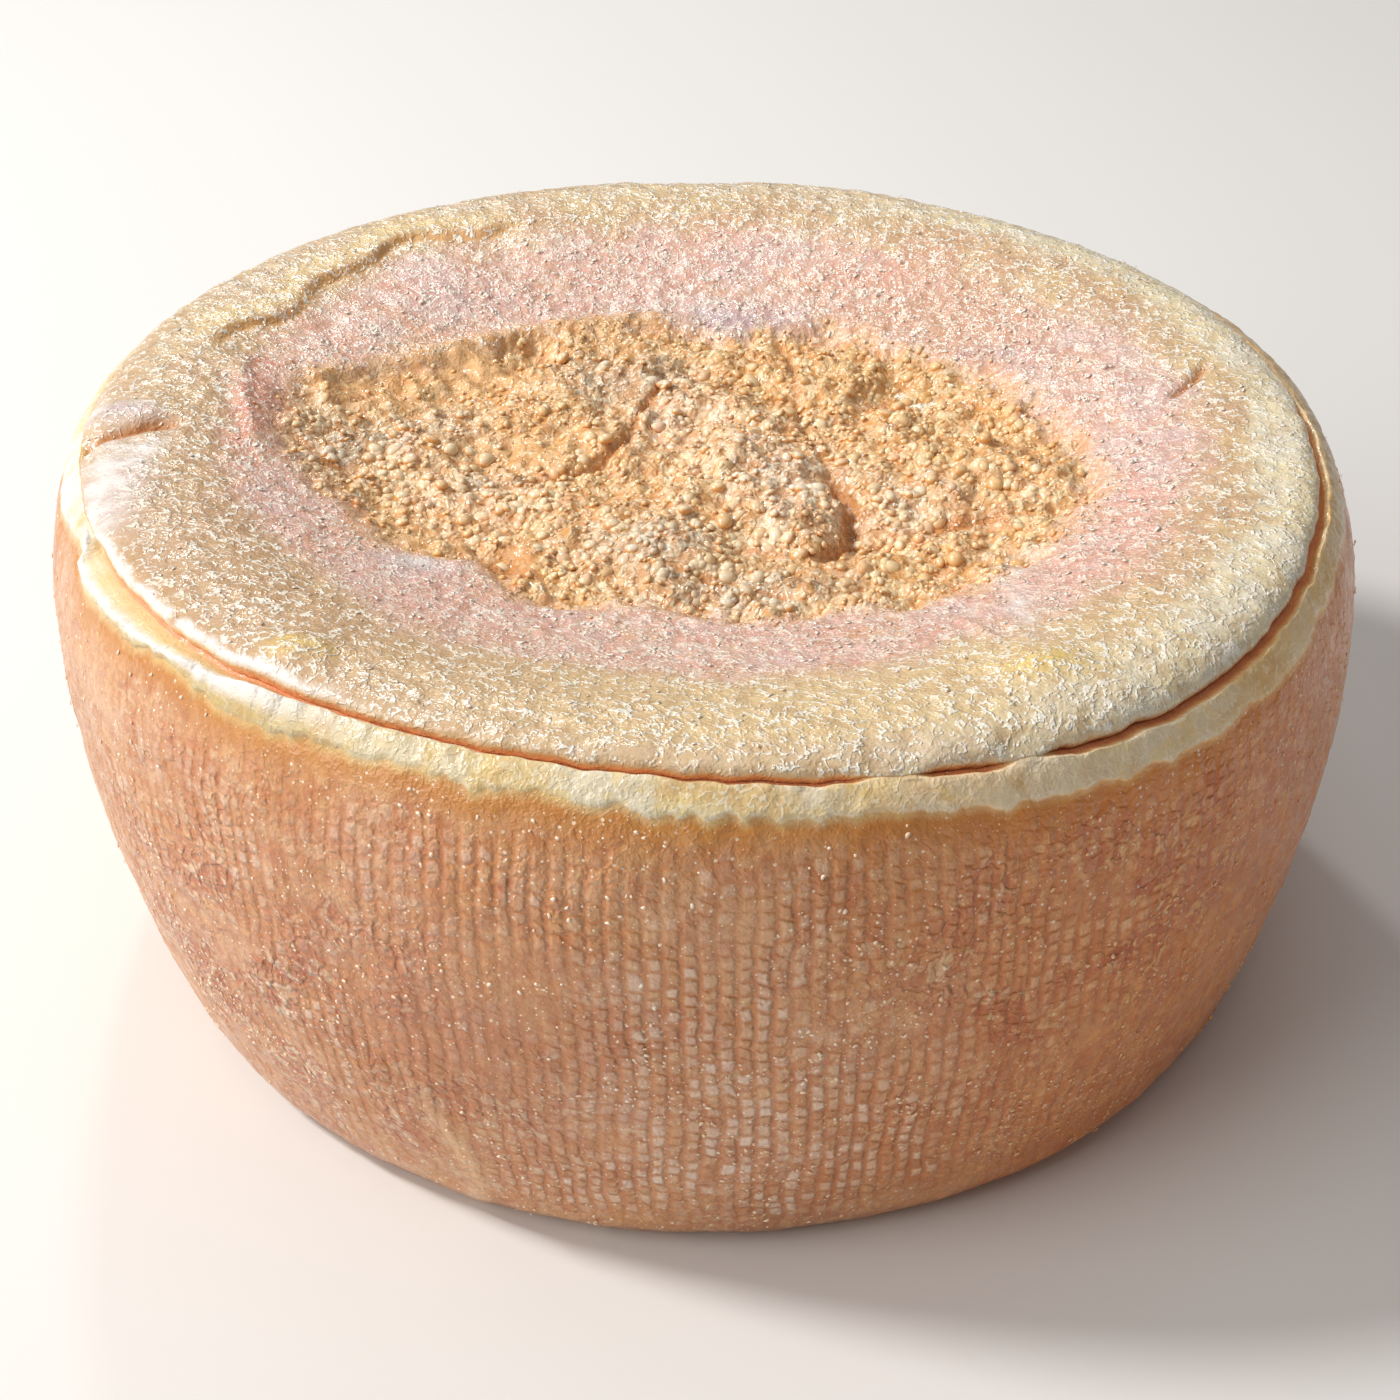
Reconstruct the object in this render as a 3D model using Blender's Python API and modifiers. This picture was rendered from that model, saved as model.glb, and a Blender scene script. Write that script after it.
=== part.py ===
"""A small washed-rind cheese wheel, built as one solid that stands on its flat base.

The outline is turned round the Z axis.  The rind is then pressed, sunk, torn and cracked by a
few rules, so that the wheel is as uneven as a hand-made cheese.  Units are metres, +Z is up,
and the origin is the middle of the base.
"""
import math

import bpy
from mathutils import Vector, noise

MM = 0.001

# The wheel's outline
WHEEL_RADIUS = 70.0 * MM
WHEEL_HEIGHT = 60.0 * MM
BULGE_RADIUS = 0.996 * WHEEL_RADIUS     # widest ring of the side
BULGE_HEIGHT = 0.70 * WHEEL_HEIGHT
FOOT_RADIUS = 0.909 * WHEEL_RADIUS      # where the side meets the rounded foot
FOOT_HEIGHT = 0.05 * WHEEL_HEIGHT
BASE_RADIUS = 0.80 * WHEEL_RADIUS       # flat ring that the wheel stands on
CREST_RADIUS = 0.86 * WHEEL_RADIUS      # highest ring of the rim
SHOULDER_SQUARENESS = 2.4               # 2 is an ellipse, more is squarer

# The sunken top
FLOOR_RADIUS = 0.42 * WHEEL_RADIUS
DISH_DEPTH = 6.0 * MM
CRATER_CENTRE = Vector((-0.03 * WHEEL_RADIUS, 0.01 * WHEEL_RADIUS))
CRATER_STEP = 0.9 * MM                  # small drop at the crater's edge
CRATER_EDGE = 3.0 * MM                  # width over which it drops
LUMP_HEIGHT = 1.3 * MM
LUMP_SIZE = 9.0 * MM

# The crack round the shoulder, and the ledge torn behind it
CRACK_RADIUS = 0.930 * WHEEL_RADIUS
CRACK_DEPTH = 1.5 * MM
CRACK_HALF_WIDTH = 0.55 * MM
LIP_HEIGHT = 0.35 * MM
LEDGE_DROP = 0.8 * MM
LEDGE_WIDTH = 2.4 * MM

# The uneven outline
LEAN = 0.016                            # sideways shift for each unit of height
OVAL = 0.004                            # share of the radius
SWELL = 0.35 * MM                       # soft bulges of the side
SWELL_SIZE = 26.0 * MM

# How finely the outline is cut
TURNS = 96
DISH_RINGS = 25
SHOULDER_RINGS = 5
SIDE_RINGS = 8
FOOT_RINGS = 4

# Angles are in degrees, seen from above, with -90 towards the front.
# Where the crack climbs towards the rim (angle, shift of its radius as a share of the wheel's)
CRACK_WAVES = ((-108.0, 24.0, -0.018), (-48.0, 22.0, 0.022), (10.0, 20.0, -0.020))
# Where the crack is grown shut (angle, half width)
CRACK_BRIDGES = ((-75.0, 2.5), (-64.0, 2.0), (34.0, 31.0), (92.0, 6.0), (-176.0, 20.0))
# How far the crater reaches from its middle (angle, share of the wheel's radius)
CRATER_REACH = (
    (-180.0, 0.63), (-172.0, 0.61), (-156.0, 0.53), (-143.0, 0.52), (-132.0, 0.43), (-120.0, 0.49),
    (-95.0, 0.44), (-66.0, 0.50), (-40.0, 0.59), (-8.0, 0.64), (8.0, 0.59), (26.0, 0.56), (45.0, 0.51),
    (63.0, 0.51), (80.0, 0.43), (102.0, 0.475), (129.0, 0.475), (148.0, 0.50), (162.0, 0.61), (180.0, 0.63),
)
# Pits and mounds of the crater: x, y and width as shares of the wheel's radius, height
CRATER_MARKS = (
    (-0.29, -0.30, 0.040, -2.2 * MM),
    (0.24, -0.20, 0.060, -1.9 * MM),
    (0.33, -0.15, 0.050, -1.0 * MM),
    (0.34, 0.23, 0.080, -1.3 * MM),
    (0.09, -0.06, 0.130, 1.4 * MM),
    (-0.05, -0.24, 0.120, 1.1 * MM),
    (0.42, -0.02, 0.110, 1.0 * MM),
    (-0.44, 0.02, 0.100, 1.1 * MM),
    (-0.22, 0.14, 0.090, 1.0 * MM),
    (-0.40, -0.16, 0.080, -0.9 * MM),
    (0.20, 0.30, 0.070, 0.8 * MM),
    (-0.12, 0.30, 0.090, 0.9 * MM),
)
# Waxy lumps on the rim, as above
RIM_LUMPS = (
    (-0.52, -0.68, 0.045, 0.9 * MM),
    (0.44, -0.68, 0.050, 0.8 * MM),
)


def smooth(amount):
    """Ease from 0 to 1, level at both ends."""
    amount = min(max(amount, 0.0), 1.0)
    return amount * amount * (3.0 - 2.0 * amount)


def mix(start, end, amount):
    return start + (end - start) * amount


def bump(distance, width):
    """A rounded hill, 1 at its middle and nearly 0 at twice its width."""
    return math.exp(-(distance / width) ** 2)


def angle_between(first, second):
    """The smaller angle between two directions, in degrees."""
    return abs((first - second + 180.0) % 360.0 - 180.0)


def dish_height(radius):
    """Height of the top inside the crest, before the crater is pressed in."""
    sunk = smooth((CREST_RADIUS - radius) / (CREST_RADIUS - FLOOR_RADIUS))
    return WHEEL_HEIGHT - DISH_DEPTH * sunk


def shoulder_height(radius):
    """Height of the rounded shoulder, outside the crest."""
    across = (radius - CREST_RADIUS) / (BULGE_RADIUS - CREST_RADIUS)
    across = min(max(across, 0.0), 1.0)
    fall = (1.0 - across ** SHOULDER_SQUARENESS) ** (1.0 / SHOULDER_SQUARENESS)
    return mix(BULGE_HEIGHT, WHEEL_HEIGHT, fall)


def side_radius(height):
    """Radius of the side, which draws in below the bulge."""
    below = (BULGE_HEIGHT - height) / (BULGE_HEIGHT - FOOT_HEIGHT)
    return mix(BULGE_RADIUS, FOOT_RADIUS, below * below)


def outline():
    """The turned outline from the middle of the top to the middle of the base.

    Each point is (radius, height, crack), where crack is 1 at the bottom of the crack.
    """
    points = []
    for ring in range(DISH_RINGS):
        radius = CREST_RADIUS * ring / (DISH_RINGS - 1)
        points.append((radius, dish_height(radius), 0.0))
    for ring in range(1, 3):
        radius = mix(CREST_RADIUS, CRACK_RADIUS - CRACK_HALF_WIDTH, ring / 2)
        points.append((radius, shoulder_height(radius), 0.0))
    points.append((CRACK_RADIUS, shoulder_height(CRACK_RADIUS), 1.0))
    lower_lip = CRACK_RADIUS + CRACK_HALF_WIDTH
    for ring in range(SHOULDER_RINGS):
        turn = math.radians(90.0) * ring / SHOULDER_RINGS
        radius = mix(lower_lip, BULGE_RADIUS, math.sin(turn))
        points.append((radius, shoulder_height(radius), 0.0))
    for ring in range(SIDE_RINGS):
        height = mix(BULGE_HEIGHT, FOOT_HEIGHT, ring / (SIDE_RINGS - 1))
        points.append((side_radius(height), height, 0.0))
    for ring in range(1, FOOT_RINGS + 1):
        turn = math.radians(90.0) * ring / FOOT_RINGS
        radius = mix(BASE_RADIUS, FOOT_RADIUS, math.cos(turn))
        points.append((radius, FOOT_HEIGHT * (1.0 - math.sin(turn)), 0.0))
    points.append((BASE_RADIUS / 2, 0.0, 0.0))
    points.append((0.0, 0.0, 0.0))
    return points


def crack_shift(angle):
    """How far the crack's radius leaves its usual ring."""
    share = sum(size * bump(angle_between(angle, middle), width) for middle, width, size in CRACK_WAVES)
    return share * WHEEL_RADIUS


def crack_opening(angle):
    """1 where the crack gapes, 0 where the rind has grown over it."""
    closed = max(bump(angle_between(angle, middle), width) for middle, width in CRACK_BRIDGES)
    return 1.0 - closed


def crater_edge(angle):
    """Distance from the crater's middle to its edge, in the given direction."""
    for (before, reach), (after, next_reach) in zip(CRATER_REACH[:-1], CRATER_REACH[1:]):
        if before <= angle <= after:
            return mix(reach, next_reach, (angle - before) / (after - before)) * WHEEL_RADIUS


def mark_height(place, marks):
    """The summed height of hills and pits at a place on the top."""
    height = 0.0
    for x, y, width, rise in marks:
        distance = math.hypot(place.x - x * WHEEL_RADIUS, place.y - y * WHEEL_RADIUS)
        height += rise * bump(distance, width * WHEEL_RADIUS)
    return height


def crater_height(place):
    """The crater's own relief: its edge, its lumps, and its larger pits and mounds."""
    spot = place.xy - CRATER_CENTRE
    angle = math.degrees(math.atan2(spot.y, spot.x))
    inside = smooth((crater_edge(angle) - spot.length) / CRATER_EDGE + 0.5)
    lumps = noise.fractal(Vector((place.x, place.y, 0.0)) / LUMP_SIZE, 0.8, 2.0, 2)
    return inside * (LUMP_HEIGHT * lumps - CRATER_STEP + mark_height(place, CRATER_MARKS))


def ledge_height(radius, angle):
    """The step where the skin has torn away inside the rim, at the back left."""
    along = 1.0 - smooth((angle_between(angle, 140.0) - 20.0) / 8.0)
    wander = 0.02 * math.sin(math.radians(angle * 9.0)) + 0.012 * math.sin(math.radians(angle * 23.0))
    edge = (0.795 + wander) * WHEEL_RADIUS
    near = (edge - radius) / LEDGE_WIDTH
    return -LEDGE_DROP * along * smooth(near) * (1.0 - smooth((near - 1.0) / 4.0))


def uneven_rim(angle):
    """Slow rise and fall of the whole top round the wheel."""
    turn = math.radians(angle)
    return (0.35 * math.cos(turn + 2.3) + 0.25 * math.cos(2.0 * turn - 0.6)) * MM


def shape_point(point, crack):
    """Move one point of the turned outline to its place on the finished rind."""
    radius = math.hypot(point.x, point.y)
    angle = math.degrees(math.atan2(point.y, point.x))
    height = point.z
    on_top = height > BULGE_HEIGHT + MM

    if on_top:
        near_crack = bump(radius - CRACK_RADIUS, 0.035 * WHEEL_RADIUS)
        shifted = radius + crack_shift(angle) * near_crack
        if radius > CREST_RADIUS:
            height += shoulder_height(shifted) - shoulder_height(radius)
        radius = shifted
        opening = crack_opening(angle)
        sink = CRACK_DEPTH * opening * crack
        lip = LIP_HEIGHT * opening * (1.0 - crack) * bump(near_crack - 1.0, 0.12)
        radius -= 0.5 * sink
        height += lip - sink
        place = Vector((radius * math.cos(math.radians(angle)), radius * math.sin(math.radians(angle)), 0.0))
        height += crater_height(place) + ledge_height(radius, angle) + mark_height(place, RIM_LUMPS)
        height += uneven_rim(angle) * smooth((radius / WHEEL_RADIUS - 0.2) / 0.5)

    if point.z > 0.0:
        turn = math.radians(angle)
        share = OVAL * math.cos(2.0 * turn + 0.5) + 0.7 * OVAL * math.cos(3.0 * turn - 1.1)
        soft = noise.noise(Vector((point.x, point.y, point.z)) / SWELL_SIZE)
        edge = smooth(point.z / FOOT_HEIGHT) * smooth(radius / CREST_RADIUS)
        radius += (share * WHEEL_RADIUS + SWELL * soft) * edge

    direction = Vector((math.cos(math.radians(angle)), math.sin(math.radians(angle)), 0.0))
    shaped = direction * radius
    shaped.x -= LEAN * height
    shaped.z = height
    return shaped


def centre_on_axis(mesh):
    """Slide the mesh sideways until its extents are centred on the Z axis."""
    across = [vertex.co.x for vertex in mesh.vertices]
    along = [vertex.co.y for vertex in mesh.vertices]
    shift = Vector((-(min(across) + max(across)) / 2, -(min(along) + max(along)) / 2, 0.0))
    for vertex in mesh.vertices:
        vertex.co += shift


def clear_scene():
    for item in list(bpy.data.objects):
        bpy.data.objects.remove(item, do_unlink=True)


def new_collection(name):
    collection = bpy.data.collections.new(name)
    bpy.context.scene.collection.children.link(collection)
    return collection


def rind_material():
    """Orange-tan washed rind, slightly greasy."""
    material = bpy.data.materials.new("washed_rind")
    material.use_nodes = True
    shader = material.node_tree.nodes["Principled BSDF"]
    shader.inputs["Base Color"].default_value = (0.66, 0.36, 0.17, 1.0)
    shader.inputs["Roughness"].default_value = 0.5
    shader.inputs["Metallic"].default_value = 0.0
    return material


def turned_outline(collection):
    """The outline as a line of edges, turned round the Z axis by a Screw modifier."""
    points = outline()
    mesh = bpy.data.meshes.new("wheel_outline")
    edges = [(index, index + 1) for index in range(len(points) - 1)]
    mesh.from_pydata([(radius, 0.0, height) for radius, height, crack in points], edges, [])
    bottoms = mesh.attributes.new("crack", "FLOAT", "POINT")
    for index, (radius, height, crack) in enumerate(points):
        bottoms.data[index].value = crack
    line = bpy.data.objects.new("wheel_outline", mesh)
    collection.objects.link(line)
    turning = line.modifiers.new("turning", "SCREW")
    turning.axis = "Z"
    turning.angle = math.radians(360.0)
    turning.steps = TURNS
    turning.render_steps = TURNS
    turning.use_merge_vertices = True
    turning.merge_threshold = 0.00005
    return line


def make_wheel(collection):
    """Turn the outline, then move every point to the shape of the finished rind."""
    line = turned_outline(collection)
    depsgraph = bpy.context.evaluated_depsgraph_get()
    mesh = bpy.data.meshes.new_from_object(line.evaluated_get(depsgraph))
    bpy.data.objects.remove(line, do_unlink=True)
    crack = [item.value for item in mesh.attributes["crack"].data]
    for vertex, bottom in zip(mesh.vertices, crack):
        vertex.co = shape_point(vertex.co, bottom)
    centre_on_axis(mesh)
    mesh.name = "cheese_wheel"
    mesh.shade_smooth()
    wheel = bpy.data.objects.new("cheese_wheel", mesh)
    mesh.materials.clear()
    mesh.materials.append(rind_material())
    collection.objects.link(wheel)
    return wheel


def main():
    clear_scene()
    make_wheel(new_collection("washed_rind_cheese_wheel"))


main()
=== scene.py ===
# %% [markdown]
# # A washed-rind cheese wheel
#
# This lesson dresses a small cheese wheel.  The wheel was turned out of a cloth-lined mould, washed
# in brine for weeks and turned by hand, so nothing on it is even: the side carries the print of the
# cloth, the rim has cracked and healed, and the middle of the top has sunk into a warty crust.
#
# The exact solid comes first.

# %% Load the fixed frame
import math

import bmesh
import bpy
import numpy as np
from mathutils import Matrix, Vector, noise


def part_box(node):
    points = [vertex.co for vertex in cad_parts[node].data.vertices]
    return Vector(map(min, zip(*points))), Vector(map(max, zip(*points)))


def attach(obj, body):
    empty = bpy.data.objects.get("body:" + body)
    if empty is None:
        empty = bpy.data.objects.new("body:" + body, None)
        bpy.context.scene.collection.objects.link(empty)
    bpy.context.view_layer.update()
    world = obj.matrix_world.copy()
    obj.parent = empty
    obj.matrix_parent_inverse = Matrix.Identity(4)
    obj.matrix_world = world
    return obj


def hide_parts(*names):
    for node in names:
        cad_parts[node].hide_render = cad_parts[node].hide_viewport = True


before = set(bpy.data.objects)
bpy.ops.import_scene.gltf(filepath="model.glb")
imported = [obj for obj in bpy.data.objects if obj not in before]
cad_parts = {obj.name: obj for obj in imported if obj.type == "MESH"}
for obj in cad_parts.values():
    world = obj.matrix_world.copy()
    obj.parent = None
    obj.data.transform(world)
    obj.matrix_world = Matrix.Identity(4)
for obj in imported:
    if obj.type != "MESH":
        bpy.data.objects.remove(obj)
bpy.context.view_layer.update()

MM = 0.001
low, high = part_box("cheese_wheel")
print("solid wheel:", [round(size / MM, 1) for size in high - low], "mm")

# %% [markdown]
# ## Camera
#
# A camera a little under two wheel widths away looks down on the wheel from the front.  It could be
# turned by hand in the viewport, but a matrix built from three directions says exactly where right,
# up and back are, and a small roll is then one more line.

# %% Camera
WHEEL_RADIUS = 70.0 * MM
WHEEL_HEIGHT = 60.0 * MM


def add_camera(distance, elevation, roll, lens, look_at, middle):
    """A camera in front of the wheel, raised by the elevation and rolled a little."""
    place = middle + Vector((0.0, -distance * math.cos(elevation), distance * math.sin(elevation)))
    forward = (look_at - place).normalized()
    right = forward.cross(Vector((0.0, 0.0, 1.0))).normalized()
    up = right.cross(forward)
    right, up = (right * math.cos(roll) + up * math.sin(roll),
                 up * math.cos(roll) - right * math.sin(roll))
    camera = bpy.data.objects.new("camera", bpy.data.cameras.new("camera"))
    camera.data.lens = lens
    camera.data.sensor_width = 36.0
    camera.data.clip_start = 0.01
    camera.matrix_world = Matrix.Translation(place) @ Matrix((right, up, -forward)).transposed().to_4x4()
    bpy.context.scene.collection.objects.link(camera)
    return camera


camera = add_camera(
    distance=4.0 * WHEEL_RADIUS,
    elevation=math.radians(33.5),
    roll=math.radians(0.47),
    lens=63.5,
    look_at=Vector((-0.3, 0.0, 22.5)) * MM,
    middle=Vector((0.0, 0.0, WHEEL_HEIGHT / 2)),
)
bpy.context.scene.camera = camera
print("camera at", [round(value / MM) for value in camera.location], "mm")

# %% [markdown]
# ## Floor and light
#
# A cheese rind needs one light that comes from a side, or its cloth print and its warts disappear.
# So a small key lamp stands high on the left.  A broad lamp in front on the left softens it, a weak
# lamp behind puts a shine on the wet rind, and a broad weak one hangs above.

# %% Floor and light
FLOOR_SIZE = 4.0


def add_floor():
    floor_mesh = bpy.data.meshes.new("floor")
    half = FLOOR_SIZE / 2
    floor_mesh.from_pydata([(-half, -half, 0), (half, -half, 0), (half, half, 0), (-half, half, 0)],
                           [], [(0, 1, 2, 3)])
    floor = bpy.data.objects.new("floor", floor_mesh)
    bpy.context.scene.collection.objects.link(floor)
    material = bpy.data.materials.new("pale_floor")
    material.use_nodes = True
    shader = material.node_tree.nodes["Principled BSDF"]
    shader.inputs["Base Color"].default_value = (0.80, 0.80, 0.80, 1.0)
    shader.inputs["Roughness"].default_value = 0.8
    shader.inputs["Specular IOR Level"].default_value = 0.2
    floor_mesh.materials.append(material)


def add_lamp(name, azimuth, elevation, distance, size, power, colour):
    """A round lamp that looks at the wheel, placed by its direction from it in degrees."""
    lamp = bpy.data.lights.new(name, "AREA")
    lamp.shape = "DISK"
    lamp.size = size
    lamp.energy = power
    lamp.color = colour
    thing = bpy.data.objects.new(name, lamp)
    turn, lift = math.radians(azimuth), math.radians(elevation)
    way = Vector((math.cos(lift) * math.cos(turn), math.cos(lift) * math.sin(turn), math.sin(lift)))
    thing.location = way * distance + Vector((0.0, 0.0, WHEEL_HEIGHT / 2))
    thing.rotation_euler = (-way).to_track_quat("-Z", "Y").to_euler()
    bpy.context.scene.collection.objects.link(thing)


add_floor()
add_lamp("key", azimuth=176, elevation=46, distance=0.9, size=0.15, power=6.1, colour=(1.0, 0.965, 0.92))
add_lamp("left", azimuth=-150, elevation=32, distance=1.0, size=0.7, power=4.3, colour=(1.0, 0.97, 0.93))
add_lamp("back", azimuth=105, elevation=42, distance=0.8, size=0.07, power=1.1, colour=(1.0, 0.98, 0.95))
add_lamp("top", azimuth=0, elevation=85, distance=1.0, size=0.8, power=1.4, colour=(1.0, 0.98, 0.95))

world = bpy.data.worlds.new("studio")
world.use_nodes = True
world.node_tree.nodes["Background"].inputs["Color"].default_value = (1.0, 0.96, 0.91, 1.0)
world.node_tree.nodes["Background"].inputs["Strength"].default_value = 0.17
bpy.context.scene.world = world
bpy.context.scene.view_settings.view_transform = "Standard"
print("lamps:", [lamp.name for lamp in bpy.data.lights])

# %% [markdown]
# ## The wheel's outline
#
# The side, the shoulder and the foot are one curve turned round the Z axis.  It could be drawn as a
# Bezier curve, but a few formulas with named sizes give the same outline as the solid.  The curve is
# measured along its length, so that a place on the rind is a length along it and a height above it.

# %% Small helpers for shapes
def smooth(amount):
    """Ease from 0 to 1, level at both ends."""
    amount = np.clip(amount, 0.0, 1.0)
    return amount * amount * (3.0 - 2.0 * amount)


def mix(start, end, amount):
    return start + (end - start) * amount


def bump(distance, width):
    """A rounded hill, 1 at its middle and nearly 0 at twice its width."""
    return np.exp(-(distance / width) ** 2)


def angle_gap(first, second):
    """The smaller angle between directions, in degrees."""
    return np.abs((first - second + 180.0) % 360.0 - 180.0)


def near_angle(angle, middle, width):
    """A rounded hill round one direction."""
    return bump(angle_gap(angle, middle), width)


def cloud(points, size, octaves=1, seed=0.0):
    """Soft noise from about -1 to 1 at each point, with hills about as wide as the size."""
    scaled = (points.reshape(-1, 3) / size + seed).tolist()
    if octaves == 1:
        values = [noise.noise(point) for point in scaled]
    else:
        values = [noise.fractal(point, 0.7, 2.0, octaves) for point in scaled]
    return np.array(values).reshape(points.shape[:-1])


def on_circle(angle):
    """Points on the wheel's rim, as places to ask a cloud for."""
    turn = np.radians(angle)
    return np.stack([np.cos(turn), np.sin(turn), 0.0 * turn], -1) * WHEEL_RADIUS


def cells(points, size, seed=0.0):
    """For each point: how far it is from the nearest cell's middle and from the next, and a
    random number from 0 to 1 that is the same all over that cell."""
    near, next_near, own = [], [], []
    for point in (points / size + seed).tolist():
        distances, middles = noise.voronoi(point)
        near.append(distances[0])
        next_near.append(distances[1])
        own.append((middles[0].x * 12.9898 + middles[0].y * 78.233 + middles[0].z * 37.719) % 1.0)
    return np.array(near), np.array(next_near), np.array(own)


# %% The outline, measured along its length
BULGE_RADIUS = 0.996 * WHEEL_RADIUS
BULGE_HEIGHT = 0.70 * WHEEL_HEIGHT
FOOT_RADIUS = 0.909 * WHEEL_RADIUS
FOOT_HEIGHT = 0.05 * WHEEL_HEIGHT
BASE_RADIUS = 0.80 * WHEEL_RADIUS
CREST_RADIUS = 0.86 * WHEEL_RADIUS
SHOULDER_SQUARENESS = 2.4


def outline_points(steps=400):
    """Radius and height along the outline, from the crest of the rim to the flat base."""
    turn = np.linspace(0.0, math.pi / 2, steps)
    power = 2.0 / SHOULDER_SQUARENESS
    shoulder = np.stack([mix(CREST_RADIUS, BULGE_RADIUS, np.sin(turn) ** power),
                         mix(BULGE_HEIGHT, WHEEL_HEIGHT, np.abs(np.cos(turn)) ** power)], 1)
    height = np.linspace(BULGE_HEIGHT, FOOT_HEIGHT, steps)[1:]
    below = (BULGE_HEIGHT - height) / (BULGE_HEIGHT - FOOT_HEIGHT)
    side = np.stack([mix(BULGE_RADIUS, FOOT_RADIUS, below * below), height], 1)
    foot = np.stack([mix(BASE_RADIUS, FOOT_RADIUS, np.cos(turn)),
                     FOOT_HEIGHT * (1.0 - np.sin(turn))], 1)[1:]
    return np.concatenate([shoulder, side, foot])


OUTLINE = outline_points()
OUTLINE_LENGTH = np.concatenate([[0.0], np.cumsum(np.hypot(*np.diff(OUTLINE, axis=0).T))])
SLOPE = np.gradient(OUTLINE, OUTLINE_LENGTH, axis=0)
SLOPE /= np.hypot(SLOPE[:, 0], SLOPE[:, 1])[:, None]
FOOT_START = float(np.interp(-FOOT_HEIGHT, -OUTLINE[:, 1], OUTLINE_LENGTH))
FOOT_END = float(OUTLINE_LENGTH[-1])


def on_outline(length, above=0.0):
    """Radius and height of a place on the outline, raised straight off it."""
    radius, height, along, down = [np.interp(length, OUTLINE_LENGTH, values)
                                   for values in (*OUTLINE.T, *SLOPE.T)]
    return radius - down * above, height + along * above


def length_at_radius(radius):
    """How far along the shoulder a radius lies."""
    shoulder = OUTLINE_LENGTH <= np.interp(-BULGE_HEIGHT, -OUTLINE[:, 1], OUTLINE_LENGTH)
    return np.interp(radius, OUTLINE[shoulder, 0], OUTLINE_LENGTH[shoulder])


print("outline is", round(FOOT_END / MM, 1), "mm from crest to base")

# %% [markdown]
# ## The uneven wheel
#
# A cheese leans a little, is slightly oval and swells here and there.  These rules are the solid's
# own, so both stay the same wheel.  They come last, after the fine relief, because they bend the
# whole thing.

# %% Lean, oval and swell
LEAN = 0.016
OVAL = 0.004
SWELL = 0.35 * MM
SWELL_SIZE = 26.0 * MM


def place(radius, angle, height):
    """Turn radius, angle in degrees and height into places on the uneven wheel."""
    turn = np.radians(angle)
    points = np.stack([radius * np.cos(turn), radius * np.sin(turn), height], -1)
    share = OVAL * np.cos(2.0 * turn + 0.5) + 0.7 * OVAL * np.cos(3.0 * turn - 1.1)
    edge = smooth(height / FOOT_HEIGHT) * smooth(radius / CREST_RADIUS)
    radius = radius + (share * WHEEL_RADIUS + SWELL * cloud(points, SWELL_SIZE)) * edge
    return np.stack([radius * np.cos(turn) - LEAN * height, radius * np.sin(turn), height], -1)


def uneven_rim(angle):
    """Slow rise and fall of the whole top round the wheel."""
    turn = np.radians(angle)
    return (0.35 * np.cos(turn + 2.3) + 0.25 * np.cos(2.0 * turn - 0.6)) * MM


print("rim rises by up to", round(uneven_rim(np.arange(360.0)).max() / MM, 2), "mm")

# %% [markdown]
# ## The crack below the rim
#
# Where the lid of the mould met the cloth, a seam formed that split again while the cheese dried.
# It wanders up and down the shoulder, opens into a shallow trough at the left, and is grown shut in
# a few places.  One function says where it runs, and both the top and the side ask it.

# %% Where the crack runs
CRACK_RADIUS = 0.930 * WHEEL_RADIUS
# Middle and width in degrees, and share of the wheel's radius
CRACK_WAVES = ((-108.0, 24.0, -0.018), (-48.0, 22.0, 0.022), (10.0, 20.0, -0.020))
# Middle and half width in degrees
CRACK_BRIDGES = ((-75.0, 2.5), (-64.0, 2.0), (34.0, 31.0), (92.0, 6.0), (-176.0, 20.0))


def crack_length(angle):
    """How far along the outline the crack lies, with a fine tremble."""
    share = sum(size * near_angle(angle, middle, width) for middle, width, size in CRACK_WAVES)
    tremble = 0.28 * MM * cloud(on_circle(angle), 4.5 * MM, octaves=3, seed=3.1)
    return length_at_radius(CRACK_RADIUS + share * WHEEL_RADIUS) + tremble


def crack_opening(angle):
    """1 where the crack gapes, 0 where the rind has grown over it."""
    closed = [smooth((half - angle_gap(angle, middle)) / 3.0 + 0.5) for middle, half in CRACK_BRIDGES]
    return 1.0 - np.max(closed, axis=0)


def crack_gap(angle):
    """How wide the crack gapes: widest at the right, a fine line in front."""
    wide = 0.10 * near_angle(angle, -32.0, 26.0) + 0.20 * near_angle(angle, 150.0, 40.0)
    return (0.20 + wide) * MM * crack_opening(angle)


def trough_width(angle):
    """The shallow trough below the crack at the left, between two pale lips."""
    return 1.9 * MM * smooth((-122.0 - angle) / 26.0) * crack_opening(angle)


def chalk_and_glare_lips(angle):
    """1 where both lips of the crack are white at the left, chalky and partly painted glare."""
    angle = (angle + 180.0) % 360.0 - 180.0
    return smooth((-114.0 - angle) / 16.0) * smooth((angle + 160.0) / 4.0)


print("the crack is open over", int(round(crack_opening(np.arange(360.0)).sum())), "degrees")

# %% [markdown]
# ## The relief of the top
#
# The top is a shallow dish with a warty crater in it.  Sculpting it by hand would be one way; here
# every hill is a small rule, so that it can be moved and measured.  The rules fall into four steps:
# the dish and its ledge, the crater's outline, the furrows and mounds in it, and the warts.

# %% Dish, ledge and crater outline
FLOOR_RADIUS = 0.42 * WHEEL_RADIUS
DISH_DEPTH = 6.0 * MM
CRATER_X = -0.03 * WHEEL_RADIUS
CRATER_Y = 0.01 * WHEEL_RADIUS
CRATER_STEP = 0.9 * MM
CRATER_EDGE = 3.0 * MM
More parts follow.
